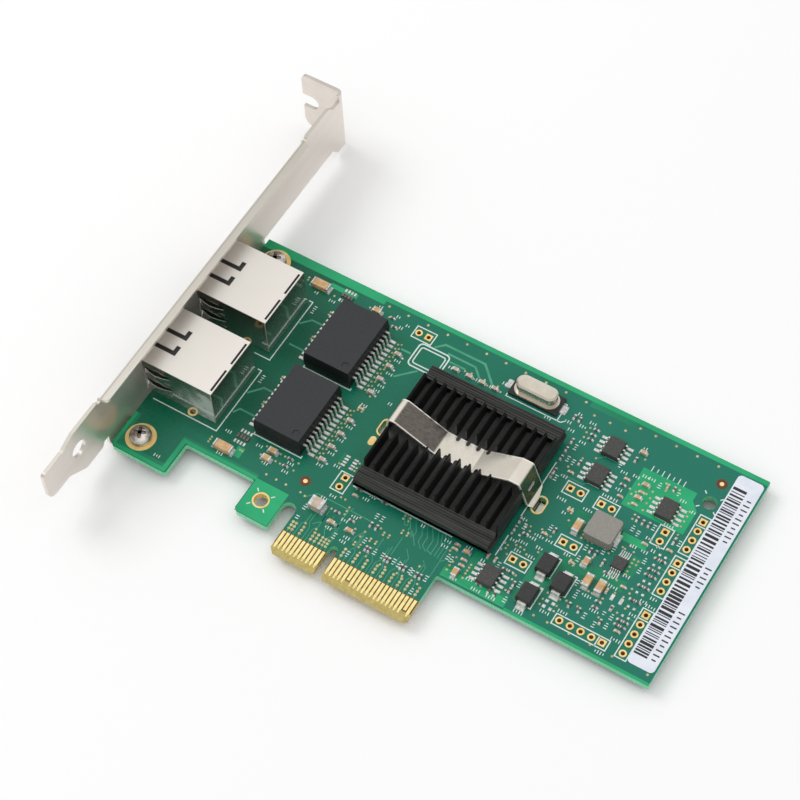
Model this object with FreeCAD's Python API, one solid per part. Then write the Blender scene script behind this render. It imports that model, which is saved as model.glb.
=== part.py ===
import FreeCAD, Part
import math
import os

# Network interface card: a low-height board in a full-height bracket,
# with two shielded modular ports and a finned heat sink.
# Lengths are in millimetres. X runs along the edge connector, away from
# the bracket. Y runs from the connector's lower edge to the card's top
# edge. Z leaves the component face. The origin is the middle of the key
# notch, on the connector's lower edge, at the component face.

V = FreeCAD.Vector
os.makedirs("parts", exist_ok=True)

# Board
board_thickness = 1.57
board_left = -56.9
board_length = 129.75
board_right = board_left + board_length
board_top = 68.9
board_bottom = 12.9
board_corner = 0.3
tongue_left = -12.15
tongue_right = 22.15
tongue_bevel_height = 1.1
tongue_bevel_depth = 0.4
tongue_corner = 0.9
key_width = 1.9
key_top = 7.9
key_lead_in = 0.5
screw_ear_right = -42.15
ear_bottom = 4.4
ear_chamfer = 0.8
inner_corner = 0.5
catch_ear_left = -24.15
catch_ear_right = -15.5
catch_slot_top = 12.2
catch_hole_x = -20.2
catch_hole_y = 9.35
catch_hole_radius = 1.65
tooling_hole_x = board_right - 8.95
tooling_hole_y = 57.75
tooling_hole_radius = 1.65
screw_x = -52.0
screw_ys = (9.4, 64.1)
board_screw_radius = 1.65
foil = 0.06

# Small repeated rounds are drawn with few flats
small_round_sides = 6
screw_sides = 14

# A round end keeps this share of the half width, so a short flat is left
round_end_share = 0.98

# Edge connector contacts
contact_pitch = 1.0
contact_width = 0.7
contact_top = 5.6
contact_neck_top = 1.95
contact_neck_width = 0.4
contact_neck_bottom = 1.25
contacts_left_of_key = 11
contacts_right_of_key = 21
first_contact_from_key = 1.5
short_contact_bottom = 2.4
short_contacts = (16, 30)

# Plated header holes: (x, y, count, step x, step y)
header_pitch = 2.54
header_hole_radius = 0.5
header_rows = (
    (-13.05, 63.95, 2, 1, 0),
    (36.25, 45.8, 2, 1, 0),
    (43.9, 45.75, 2, 1, 0),
    (41.35, 33.5, 2, 1, 0),
    (34.15, 24.45, 2, 1, 0),
    (board_right - 13.85, 46.55, 2, 0, -1),
    (-7.3, 23.4, 2, 0, -1),
    (board_right - 8.0, 52.75, 4, 0, -1),
    (board_right - 8.05, 41.2, 4, 0, -1),
    (board_right - 8.05, 27.0, 5, 0, -1),
    (board_right - 23.1, 16.8, 5, 1, 0),
)

# Bracket
sheet = 0.86
bracket_gap = 0.8
bracket_width = 18.42
bracket_bend = 0.6
bracket_crown = 104.5
bracket_length = 120.02
tab_depth = 11.43
tab_round = 3.2
tab_small_round = 1.5
notch_width = 4.42
notch_depth = 4.4
notch_z = 7.0
slip = 0.02
tongue_width = 10.19
tongue_middle_z = 9.3
tongue_shoulder_y = -8.4
tongue_round = 2.6
tongue_small_round = 1.0
tongue_bend_round = 2.0
shoulder_y = -4.4
tongue_hole_y = -3.8
tongue_hole_z = 9.1
tongue_hole_radius = 2.3
lip_start = 6.05
lip_end = 87.1
lip_depth = 2.65
lip_round = 1.2
lip_relief_radius = 0.8
recess_z = 0.3
upper_recess_end = 98.0
recess_slope = 2.2
step_z = 1.3
step_width = 1.6
step_slope = 0.8
lower_recess_z = 0.0
lower_recess_start = -3.0
crown_relief = 1.9
crown_relief_start = 98.0
crown_relief_end = 102.4
flange_width = 8.0
flange_reach = 10.2
flange_corner = 1.2

# Bracket screws
screw_shank_radius = 1.48
screw_head_radius = 2.6
screw_head_height = 2.1
screw_head_crown = 0.9
screw_length = 3.7

# Ports
port_width = 15.9
port_height = 12.0
port_depth = 19.4
port_front_proud = 0.3
port_lower_edges = (20.65, 42.3)
port_clearance = 0.25
port_lift = 0.15
shell = 0.3
plug_width = 11.9
plug_height = 6.9
plug_floor = 2.5
port_rear_block = 6.8
latch_width = 6.4
latch_depth = 1.5
latch_reach = 9.4
housing_clearance = 0.05
port_wire = 0.35
port_wire_count = 8
port_wire_pitch = 1.02
port_wire_clearance = 0.06
port_wire_tip_from_front = 9.9
port_wire_tip_drop = 3.4
port_wire_nose_from_front = 2.4
port_wire_rise = 0.9
port_wire_nose_lift = 0.1
port_wire_nose_length = 0.6
port_pin_row = 2.54
port_pin_from_rear = 1.9
port_pin_below = 1.0
port_pin_hole_radius = 0.36
insert_width = 8.6
insert_from_front = 2.9
insert_height = 1.5
insert_leg_gap = 1.2
insert_clearance = 0.05
port_peg_radius = 1.55
port_peg_length = 2.6
port_peg_root = 0.5
port_peg_from_front = 11.0
port_peg_from_side = 2.25
hole_clearance = 0.1
port_leg_width = 0.9
port_leg_from_front = 13.15
port_leg_below = 1.3
port_leg_overlap = 1.0
port_leg_hole_radius = 0.75
port_leg_hole_offset = 0.1
ell_slot_width = 1.1
ell_slot_reach = 6.9
ell_slot_foot = 2.6
ell_slot_from_edge = (4.4, 8.95)
seam_slot_length = 6.1
seam_slot_width = 0.55
seam_slot_from_edge = (0.9, 8.9)
finger_window_length = 6.4
finger_window_height = 3.2
finger_from_front = 1.6
finger_window_low = 1.6
finger_window_gap = 1.4
finger_count = 2
finger_bulge = 0.75
finger_bow = ((0.22, 0.75), (0.45, 1.0), (0.7, 0.75))
finger_root = 0.3
finger_width = 1.5
finger_share = 0.7
slot_from_front = 0.9

# Network transformers
transformer_x = -24.65
transformer_ys = (31.55, 51.85)
transformer_width = 12.0
transformer_length = 17.4
transformer_top = 5.8
transformer_split = 2.9
transformer_base = 0.3
transformer_draft = 0.25
transformer_lead_span = 16.5
transformer_lead_count = 12
transformer_lead_pitch = 1.27
transformer_lead_width = 0.5
transformer_lead_thickness = 0.22
lead_shoulder_share = 0.35
lead_heel_share = 0.55
lower_draft_share = 0.6
dimple_radius = 0.8
dimple_depth = 0.15
dimple_from_edge = 1.9

# Small chips
small_chip_centres = ((39.75, 58.95), (39.9, 51.2), (board_right - 15.95, 51.2), (32.0, 18.05))
small_chip_width = 3.9
small_chip_length = 4.9
small_chip_top = 1.6
small_chip_lead_span = 6.0
small_chip_lead_count = 4
small_chip_lead_pitch = 1.27
small_chip_lead_width = 0.4
small_chip_lead_thickness = 0.16
chip_split = 0.52
micro_chip_centre = (board_right - 18.55, 34.7)
micro_chip_side = 3.0
micro_chip_top = 1.05
micro_chip_lead_span = 4.9
micro_chip_lead_count = 5
micro_chip_lead_pitch = 0.5
micro_chip_lead_width = 0.22
micro_chip_lead_thickness = 0.13
chip_standoff = 0.12
chip_draft = 0.12

# Heat sink on the controller
sink_centre_x = 12.45
sink_centre_y = 39.0
fin_count = 14
fin_pitch = 2.54
fin_thickness = 1.25
sink_depth = 33.8
sink_base = 1.1
fin_top = 7.1
bar_top = 4.6
bar_depth = 3.8
bar_shoulder = 0.5
bar_end_inset = 0.35
fin_end_slope = 0.4
controller_side = 17.0
controller_top = 1.45
pad_thickness = 0.15
pad_side = 14.0

# Spring clip across the heat sink
clip_thickness = 0.45
clip_width = 6.4
clip_centre_y = 40.0
clip_crown = 7.95
clip_flat_from = 7.3
clip_flat_to = 16.4
clip_left_end = -4.33
clip_right_end = 28.42
clip_bend = 0.35
clip_left_bend = 0.9
clip_left_shoulder = 1.75
clip_right_shoulder = 2.4
clip_leg_low = 0.95
clip_leg_lean = (0.95, 2.05)
clip_tongue_high = 0.25
clip_tongue_left = -5.75
clip_tongue_right = 31.75
clip_foot_width = 3.0
clip_taper_rise = 0.4
clip_taper_low_round = 0.3
clip_taper_high_round = 0.6
clip_leg_hole_length = 2.7
clip_leg_hole_height = 1.0
clip_leg_hole_y = 39.95
clip_leg_hole_z = 4.1
clip_notch_first_gap = 5
clip_notch_count = 4
clip_notch_width = 0.9
clip_notch_depth = 1.1
clip_notch_straight = 0.65
clip_notch_floor_share = 0.5
clip_channel_clearance = 0.2
clip_slot_length = 4.0
clip_slot_width = 2.3
clip_slot_corner = 0.5
clip_slot_right = (32.5, 38.8)
clip_slot_left = (-6.5, 38.65)
clip_hook = 2.75
clip_hook_clearance = 0.05

# Crystal
crystal_centre = (18.5, 62.45)
crystal_length = 11.0
crystal_width = 4.65
crystal_top = 4.2
crystal_flange = 0.5
crystal_step = 0.45
crystal_top_chamfer = 0.4
crystal_base_thickness = 0.7
crystal_base_length = 12.3
crystal_base_width = 5.0
crystal_tab_under = 1.2
crystal_tab_reach = 1.1
crystal_tab_width = 2.0
crystal_tab_thickness = 0.22

# Power parts
inductor_centre = (board_right - 25.15, 39.55)
inductor_length = 6.5
inductor_width = 6.47
inductor_top = 3.0
inductor_corner = 0.45
inductor_terminal_width = 3.0
inductor_terminal_under = 1.6
inductor_terminal_height = 1.65
rectifier_centres = (
    (board_right - 31.55, 26.4),
    (board_right - 26.7, 24.05),
    (board_right - 31.65, 18.3),
)
rectifier_width = 3.6
rectifier_length = 4.4
rectifier_top = 2.3
rectifier_terminal_width = 2.0
rectifier_terminal_reach = 0.75
rectifier_terminal_under = 0.9
rectifier_shoulder_share = 0.6
rectifier_draft = 0.18
terminal_thickness = 0.2

# Chip capacitors: (x, y, length, width, height, lies along x)
capacitors = (
    (-39.1, 63.6, 3.2, 1.6, 1.3, True),
    (-34.5, 16.2, 3.2, 1.6, 1.3, True),
    (-24.3, 64.1, 2.0, 1.25, 1.0, True),
    (-24.5, 20.9, 2.0, 1.25, 1.0, True),
    (-24.8, 18.7, 2.0, 1.25, 1.0, True),
    (-3.9, 12.4, 1.6, 0.8, 0.8, True),
    (0.5, 12.6, 1.6, 0.8, 0.8, True),
    (25.25, 15.35, 2.0, 1.25, 1.0, False),
    (board_right - 30.55, 38.1, 3.2, 1.6, 1.3, False),
    (board_right - 22.35, 27.7, 3.2, 1.6, 1.3, False),
    (board_right - 19.35, 27.7, 3.2, 1.6, 1.3, False),
    (board_right - 24.85, 31.6, 2.0, 1.25, 1.0, False),
)
cap_end = 0.22
tall_capacitor = (-8.7, 14.2, 3.2, 2.6, 2.1, True)

# Label along the far edge
label_width = 6.2
label_from_edge = 0.45
label_bottom = 15.7
label_top = 67.3
label_corner = 1.0
label_thickness = 0.1

# Worked out from the sizes above
label_right = board_right - label_from_edge
label_left = label_right - label_width
solder_face = -board_thickness
plate_inner = board_left - bracket_gap
plate_outer = plate_inner - sheet
plate_middle = plate_inner - sheet / 2
plate_low = solder_face - sheet
plate_high = plate_low + bracket_width
port_front = plate_outer - port_front_proud
plug_depth = port_depth - port_rear_block
sink_length = (fin_count - 1) * fin_pitch + fin_thickness
sink_left = sink_centre_x - sink_length / 2
sink_right = sink_centre_x + sink_length / 2
sink_front = sink_centre_y - sink_depth / 2
sink_rear = sink_centre_y + sink_depth / 2
sink_under = controller_top + pad_thickness
sink_floor = sink_under + sink_base


def block(x0, x1, y0, y1, z0, z1):
    """A box between two corners."""
    return Part.makeBox(x1 - x0, y1 - y0, z1 - z0, V(x0, y0, z0))


def block_at(x, y, size_x, size_y, z0, z1):
    """A box centred on a point of the board."""
    return block(x - size_x / 2, x + size_x / 2, y - size_y / 2, y + size_y / 2, z0, z1)


def post(x, y, radius, z0, z1):
    """An upright cylinder."""
    return Part.makeCylinder(radius, z1 - z0, V(x, y, z0))


def flat_sided_ring(x, y, reach, sides):
    """The corners of a round drawn with flats, each at this reach from its middle."""
    angles = [2 * math.pi * (index + 0.5) / sides for index in range(sides)]
    return [(x + reach * math.cos(angle), y + reach * math.sin(angle), 0)
            for angle in angles]


def small_round(x, y, radius, z0, z1, around=True):
    """A small upright round with few flats, drawn around the circle or inside it."""
    reach = radius / math.cos(math.pi / small_round_sides) if around else radius
    return prism_z(flat_sided_ring(x, y, reach, small_round_sides), z0, z1)


def chamfered(x0, x1, y0, y1, cut):
    """A rectangle's corners with each corner cut off."""
    return [
        (x0 + cut, y0, 0),
        (x1 - cut, y0, 0),
        (x1, y0 + cut, 0),
        (x1, y1 - cut, 0),
        (x1 - cut, y1, 0),
        (x0 + cut, y1, 0),
        (x0, y1 - cut, 0),
        (x0, y0 + cut, 0),
    ]


def outline_wire(points, place):
    """A closed wire through corners (u, v, radius); place maps (u, v) to space."""
    edges = []
    starts = []
    ends = []
    total = len(points)
    for index in range(total):
        u, v, radius = points[index]
        corner = V(u, v, 0)
        before = V(points[index - 1][0], points[index - 1][1], 0)
        after = V(points[(index + 1) % total][0], points[(index + 1) % total][1], 0)
        if radius <= 0:
            starts.append(corner)
            ends.append(corner)
            edges.append(None)
            continue
        to_before = (before - corner).normalize()
        to_after = (after - corner).normalize()
        half = to_before.getAngle(to_after) / 2
        setback = radius / math.tan(half)
        start = corner + to_before * setback
        end = corner + to_after * setback
        centre = corner + (to_before + to_after).normalize() * (radius / math.sin(half))
        middle = centre + (corner - centre).normalize() * radius
        starts.append(start)
        ends.append(end)
        edges.append(Part.Arc(place(start), place(middle), place(end)).toShape())
    chain = []
    for index in range(total):
        if edges[index] is not None:
            chain.append(edges[index])
        following = starts[(index + 1) % total]
        if (following - ends[index]).Length > 1e-6:
            chain.append(Part.LineSegment(place(ends[index]), place(following)).toShape())
    return Part.Wire(chain)


def prism_z(points, z0, z1):
    """An outline in the board's plane, extruded upwards."""
    wire = outline_wire(points, lambda p: V(p.x, p.y, z0))
    return Part.Face(wire).extrude(V(0, 0, z1 - z0))


def prism_y(points, y0, y1):
    """An outline of (x, z) corners, extruded along Y."""
    wire = outline_wire(points, lambda p: V(p.x, y0, p.y))
    return Part.Face(wire).extrude(V(0, y1 - y0, 0))


def prism_x(points, x0, x1):
    """An outline of (y, z) corners, extruded along X."""
    wire = outline_wire(points, lambda p: V(x0, p.x, p.y))
    return Part.Face(wire).extrude(V(x1 - x0, 0, 0))


def sharp(points):
    """Corners with no rounding."""
    return [(u, v, 0) for u, v in points]


def strip_outline(path, thickness, bend=0.0):
    """The outline of a folded strip about a centre line; bend is the inner radius.

    A corner of the path may carry its own bend as a third value.
    """
    half = thickness / 2
    count = len(path)
    left = []
    right = []
    for index in range(count):
        here = V(path[index][0], path[index][1], 0)
        ahead = None
        behind = None
        if index < count - 1:
            ahead = (V(path[index + 1][0], path[index + 1][1], 0) - here).normalize()
        if index > 0:
            behind = (here - V(path[index - 1][0], path[index - 1][1], 0)).normalize()
        if ahead is None or behind is None:
            along = ahead if behind is None else behind
            normal = V(-along.y, along.x, 0)
            left.append((here.x + normal.x * half, here.y + normal.y * half, 0))
            right.append((here.x - normal.x * half, here.y - normal.y * half, 0))
            continue
        normal_in = V(-behind.y, behind.x, 0)
        normal_out = V(-ahead.y, ahead.x, 0)
        mitre = (normal_in + normal_out).normalize()
        reach = half / mitre.dot(normal_in)
        turn = behind.x * ahead.y - behind.y * ahead.x
        inner = path[index][2] if len(path[index]) > 2 else bend
        outer = inner + thickness if inner > 0 else 0
        left_radius = inner if turn > 0 else outer
        right_radius = outer if turn > 0 else inner
        left.append((here.x + mitre.x * reach, here.y + mitre.y * reach, left_radius))
        right.append((here.x - mitre.x * reach, here.y - mitre.y * reach, right_radius))
    return left + right[::-1]


def clip_slot(centre, z0, z1):
    """One of the clip's board slots; it runs along Y."""
    dx = clip_slot_width / 2
    dy = clip_slot_length / 2
    corners = chamfered(centre[0] - dx, centre[0] + dx, centre[1] - dy, centre[1] + dy,
                        clip_slot_corner)
    return prism_z(corners, z0, z1)


def drafted_body(x, y, size_x, size_y, z0, split, z1, draft):
    """A moulded body, widest at its parting line."""
    def ring(z, inset):
        dx = size_x / 2 - inset
        dy = size_y / 2 - inset
        corners = [(x - dx, y - dy), (x + dx, y - dy), (x + dx, y + dy), (x - dx, y + dy)]
        return Part.makePolygon([V(u, v, z) for u, v in corners + corners[:1]])
    lower = Part.makeLoft([ring(z0, draft * lower_draft_share), ring(split, 0)], True, True)
    upper = Part.makeLoft([ring(split, 0), ring(z1, draft)], True, True)
    return lower.fuse(upper).removeSplitter()


def gull_leads(centre, body_width, span, split, count, pitch, width, thickness):
    """Two rows of gull-wing leads beside a moulded body, pointing along X."""
    leads = []
    foot = (span - body_width) / 2
    path = [
        (body_width / 2, split),
        (body_width / 2 + foot * lead_shoulder_share, split),
        (body_width / 2 + foot * lead_heel_share, thickness / 2),
        (span / 2, thickness / 2),
    ]
    profile = strip_outline(path, thickness)
    for turn in (0, 180):
        for index in range(count):
            lead = prism_y(profile, -width / 2, width / 2)
            lead.rotate(V(0, 0, 0), V(0, 0, 1), turn)
            lead.translate(V(centre[0], centre[1] + (index - (count - 1) / 2) * pitch, 0))
            leads.append(lead)
    return leads


def save(name, shapes):
    """Write one node, as one solid or as a group of separate solids."""
    solids = shapes if isinstance(shapes, list) else [shapes]
    whole = solids[0] if len(solids) == 1 else Part.makeCompound(solids)
    whole.exportStep("parts/" + name + ".step")


def header_points():
    """The centre of every plated header hole."""
    points = []
    for x, y, count, step_x, step_y in header_rows:
        for index in range(count):
            reach = index * header_pitch
            points.append((x + step_x * reach, y + step_y * reach))
    return points


def port_pin_points(edge_y):
    """The board holes of one port's signal pins: (x, y)."""
    middle = edge_y + port_width / 2
    last = port_front + port_depth - port_pin_from_rear
    points = []
    for index in range(port_wire_count):
        x = last - (index % 2) * port_pin_row
        y = middle + (index - (port_wire_count - 1) / 2) * port_wire_pitch
        points.append((x, y))
    return points


def port_peg_points(edge_y):
    """The two locating pegs of one port."""
    x = port_front + port_peg_from_front
    return [
        (x, edge_y + port_peg_from_side),
        (x, edge_y + port_width - port_peg_from_side),
    ]


def port_legs(edge_y):
    """The two solder legs of one port's shield."""
    x = port_front + port_leg_from_front
    legs = []
    for y in (edge_y + shell / 2, edge_y + port_width - shell / 2):
        legs.append(block_at(x, y, port_leg_width, shell, solder_face - port_leg_below,
                             port_lift + port_leg_overlap))
    return legs


def port_leg_holes(edge_y):
    """The centres of the two holes that the shield's legs go into."""
    x = port_front + port_leg_from_front
    return [
        (x, edge_y + shell / 2 - port_leg_hole_offset),
        (x, edge_y + port_width - shell / 2 + port_leg_hole_offset),
    ]


def circuit_board():
    """The bare board with its ears, connector tongue, slots and holes."""
    slot_radius = (tongue_left - catch_ear_right) / 2 * round_end_share
    key_left = -key_width / 2
    key_right = key_width / 2
    key_round = key_width / 2 * round_end_share
    outline = [
        (board_left + ear_chamfer, ear_bottom, 0),
        (screw_ear_right, ear_bottom, inner_corner),
        (screw_ear_right, board_bottom, inner_corner),
        (catch_ear_left, board_bottom, inner_corner),
        (catch_ear_left, ear_bottom + ear_chamfer, 0),
        (catch_ear_left + ear_chamfer, ear_bottom, 0),
        (catch_ear_right, ear_bottom, 0),
        (catch_ear_right, catch_slot_top, slot_radius),
        (tongue_left, catch_slot_top, slot_radius),
        (tongue_left, tongue_corner, 0),
        (tongue_left + tongue_corner, 0, 0),
        (key_left - key_lead_in, 0, 0),
        (key_left, key_lead_in, 0),
        (key_left, key_top, key_round),
        (key_right, key_top, key_round),
        (key_right, key_lead_in, 0),
        (key_right + key_lead_in, 0, 0),
        (tongue_right - tongue_corner, 0, 0),
        (tongue_right, tongue_corner, 0),
        (tongue_right, board_bottom, inner_corner),
        (board_right, board_bottom, board_corner),
        (board_right, board_top, board_corner),
        (board_left, board_top, 0),
        (board_left, ear_bottom + ear_chamfer, 0),
    ]
    board = prism_z(outline, solder_face, 0)
    bevels = []
    for face, inward in ((0, -1), (solder_face, 1)):
        corners = [
            (-1, face),
            (tongue_bevel_height, face),
            (0, face + inward * tongue_bevel_depth),
            (-1, face + inward * tongue_bevel_depth * 2),
        ]
        bevels.append(prism_x(sharp(corners), tongue_left - 1, tongue_right + 1))
    holes = []
    low = solder_face - 1
    for y in screw_ys:
        holes.append(post(screw_x, y, board_screw_radius, low, 1))
    holes.append(post(catch_hole_x, catch_hole_y, catch_hole_radius, low, 1))
    holes.append(post(tooling_hole_x, tooling_hole_y, tooling_hole_radius, low, 1))
    for x, y in header_points():
        holes.append(small_round(x, y, header_hole_radius, low, 1))
    for centre in (clip_slot_right, clip_slot_left):
        holes.append(clip_slot(centre, low, 1))
    for edge_y in port_lower_edges:
        for x, y in port_pin_points(edge_y):
            holes.append(small_round(x, y, port_pin_hole_radius, low, 1))
        for x, y in port_peg_points(edge_y):
            holes.append(small_round(x, y, port_peg_radius + hole_clearance, low, 1))
        for x, y in port_leg_holes(edge_y):
            holes.append(small_round(x, y, port_leg_hole_radius, low, 1))
    return board.cut(bevels + holes)


def edge_contacts():
    """Gold contacts on both faces of the connector tongue."""
    xs = []
    for index in range(contacts_left_of_key):
        xs.append(-first_contact_from_key - index * contact_pitch)
    xs.reverse()
    for index in range(contacts_right_of_key):
        xs.append(first_contact_from_key + index * contact_pitch)
    half = contact_width / 2
    neck = contact_neck_width / 2
    front = []
    back = []
    for number, x in enumerate(xs):
        bottom = contact_neck_top
        if number in short_contacts:
            bottom = short_contact_bottom
        back.append(block(x - half, x + half, bottom, contact_top,
                          solder_face - foil, solder_face))
        corners = [
            (x - half, contact_top),
            (x - half, bottom),
            (x + half, bottom),
            (x + half, contact_top),
        ]
        if number not in short_contacts:
            corners[2:2] = [
                (x - neck, contact_neck_top),
                (x - neck, contact_neck_bottom),
                (x + neck, contact_neck_bottom),
                (x + neck, contact_neck_top),
            ]
        front.append(prism_z(sharp(corners), 0, foil))
    return front, back


def bracket():
    """The folded bracket: plate, chassis tab, tongue, stiffening lip and flanges."""
    tip = bracket_crown - bracket_length
    tab_end = plate_inner - tab_depth
    crown_middle = bracket_crown - sheet / 2
    fold = [(plate_middle, tip), (plate_middle, crown_middle), (tab_end, crown_middle)]
    blank = prism_z(strip_outline(fold, sheet, bracket_bend), plate_low, plate_high)
    tongue_low = tongue_middle_z - tongue_width / 2
    tongue_high = tongue_middle_z + tongue_width / 2
    beyond = bracket_crown + 1
    flange_top = screw_ys[1] + flange_width / 2
    flange_bottom = screw_ys[0] - flange_width / 2
    step_start = flange_bottom - step_width
    plate_outline = [
        (tip, tongue_low, tongue_round),
        (tip, tongue_high, tongue_small_round),
        (tongue_shoulder_y, tongue_high, tongue_small_round),
        (shoulder_y, plate_high, 0),
        (crown_relief_start, plate_high, 0),
        (crown_relief_start + crown_relief, plate_high - crown_relief, 0),
        (crown_relief_end, plate_high - crown_relief, 0),
        (crown_relief_end, plate_high, 0),
        (beyond, plate_high, 0),
        (beyond, plate_low, 0),
        (upper_recess_end + recess_slope, plate_low, 0),
        (upper_recess_end, recess_z, 0),
        (flange_top, recess_z, 0),
        (flange_top, plate_low, 0),
        (flange_bottom, plate_low, 0),
        (flange_bottom, step_z, 0),
        (step_start, step_z, 0),
        (step_start - step_slope, lower_recess_z, 0),
        (lower_recess_start, lower_recess_z, tongue_bend_round),
        (tongue_shoulder_y, tongue_low, tongue_bend_round),
    ]
    plate = blank.common(prism_x(plate_outline, tab_end - 1, plate_inner + 1))
    tab_outline = [
        (tab_end, plate_low, tab_round),
        (plate_inner + 1, plate_low, 0),
        (plate_inner + 1, plate_high, 0),
        (tab_end, plate_high, tab_small_round),
    ]
    plate = plate.common(prism_y(tab_outline, tip - 1, bracket_crown + 1))

    # Stiffening lip over the port tops
    lip_middle = plate_high - sheet / 2
    lip_edge = plate_outer + lip_depth
    fold_allowance = sheet + bracket_bend
    lip_path = [
        (plate_middle, plate_high - fold_allowance),
        (plate_middle, lip_middle),
        (lip_edge, lip_middle),
    ]
    lip = prism_y(strip_outline(lip_path, sheet, bracket_bend), lip_start, lip_end)
    lip_trim = [
        (plate_outer - 1, lip_start, 0),
        (lip_edge, lip_start, lip_round),
        (lip_edge, lip_end, lip_round),
        (plate_outer - 1, lip_end, 0),
    ]
    lip = lip.common(prism_z(lip_trim, plate_low, plate_high + 1))
    plate = plate.cut(block(plate_outer - 1, plate_inner + 1, lip_start, lip_end,
                            plate_high - fold_allowance, plate_high + 1))
    reliefs = []
    for y in (lip_start - lip_relief_radius, lip_end + lip_relief_radius):
        reliefs.append(Part.makeCylinder(lip_relief_radius, 3 * sheet,
                                         V(plate_outer - sheet, y, plate_high), V(1, 0, 0)))
    plate = plate.cut(reliefs)

    # Two flanges under the board take the screws
    flange_middle = solder_face - sheet / 2
    flange_end = plate_outer + flange_reach
    flange_path = [
        (plate_middle, plate_low + fold_allowance),
        (plate_middle, flange_middle),
        (flange_end, flange_middle),
    ]
    flanges = []
    for y in screw_ys:
        y0 = y - flange_width / 2
        y1 = y + flange_width / 2
        flange = prism_y(strip_outline(flange_path, sheet, bracket_bend), y0, y1)
        trim = [
            (plate_outer - 1, y0, 0),
            (flange_end - flange_corner, y0, 0),
            (flange_end, y0 + flange_corner, 0),
            (flange_end, y1 - flange_corner, 0),
            (flange_end - flange_corner, y1, 0),
            (plate_outer - 1, y1, 0),
        ]
        flanges.append(flange.common(prism_z(trim, plate_low - 1, plate_high)))
        plate = plate.cut(block(plate_outer - 1, plate_inner + 1, y0, y1,
                                plate_low - 1, plate_low + fold_allowance))
    body = plate.fuse([lip] + flanges).removeSplitter()

    # Openings
    cuts = []
    for y in screw_ys:
        cuts.append(post(screw_x, y, screw_shank_radius + slip, plate_low - 1,
                         solder_face + 1))
    for edge_y in port_lower_edges:
        y0 = edge_y - port_clearance
        y1 = edge_y + port_width + port_clearance
        z0 = port_lift - port_clearance
        z1 = port_height + port_clearance
        cuts.append(block(plate_outer - 1, plate_inner + 1, y0, y1, z0, z1))
    cuts.append(Part.makeCylinder(tongue_hole_radius, 3 * sheet,
                                  V(plate_outer - sheet, tongue_hole_y, tongue_hole_z),
                                  V(1, 0, 0)))
    notch_end = tab_end + notch_depth
    notch_round = notch_width / 2 * round_end_share
    notch = [
        (tab_end - 1, notch_z - notch_width / 2, 0),
        (notch_end, notch_z - notch_width / 2, notch_round),
        (notch_end, notch_z + notch_width / 2, notch_round),
        (tab_end - 1, notch_z + notch_width / 2, 0),
    ]
    cuts.append(prism_y(notch, bracket_crown - 2 * sheet, bracket_crown + 1))
    return body.cut(cuts)


def bracket_screw(y):
    """A pan-head screw, its head on the board and its shank through board and flange."""
    rim = screw_head_height - screw_head_crown
    head_ring = flat_sided_ring(screw_x, y, screw_head_radius, screw_sides)
    top_ring = flat_sided_ring(screw_x, y, screw_head_radius - screw_head_crown, screw_sides)
    shank_ring = flat_sided_ring(screw_x, y, screw_shank_radius, screw_sides)
    wires = []
    for ring, z in ((head_ring, rim), (top_ring, screw_head_height)):
        corners = [V(u, v, z) for u, v, radius in ring]
        wires.append(Part.makePolygon(corners + corners[:1]))
    crown = Part.makeLoft(wires, True, True)
    head = prism_z(head_ring, 0, rim)
    shank = prism_z(shank_ring, -screw_length, rim)
    return head.fuse([crown, shank]).removeSplitter()


def port_wires(edge_y, thickness):
    """The eight spring contacts of one port, or their channels when thicker."""
    plug_ceiling = port_lift + plug_floor + plug_height
    run = plug_ceiling + port_wire_rise
    wires = []
    for x, y in port_pin_points(edge_y):
        path = [
            (port_front + port_wire_tip_from_front, plug_ceiling - port_wire_tip_drop),
            (port_front + port_wire_nose_from_front, plug_ceiling + port_wire_nose_lift),
            (port_front + port_wire_nose_from_front + port_wire_nose_length,
             run),
            (x, run),
            (x, solder_face - port_pin_below),
        ]
        outline = strip_outline(path, thickness)
        wires.append(prism_y(outline, y - thickness / 2, y + thickness / 2))
    return wires


def insert_outline(grow):
    """The side view of the contact insert, or of its pocket when grown."""
    plug_ceiling = port_lift + plug_floor + plug_height
    rear = port_front + port_depth - shell - housing_clearance
    leg = port_front + plug_depth + insert_leg_gap
    start = port_front + insert_from_front
    top = plug_ceiling + insert_height
    return sharp([
        (start - grow, plug_ceiling),
        (leg - grow, plug_ceiling),
        (leg - grow, port_lift),
        (rear, port_lift),
        (rear, top + grow),
        (start - grow, top + grow),
    ])


def port_insert(edge_y):
    """The block that carries one port's contacts, over and behind the plug cavity."""
    middle = edge_y + port_width / 2
    body = prism_y(insert_outline(0), middle - insert_width / 2, middle + insert_width / 2)
    return body.cut(port_wires(edge_y, port_wire + 2 * port_wire_clearance))


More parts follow.
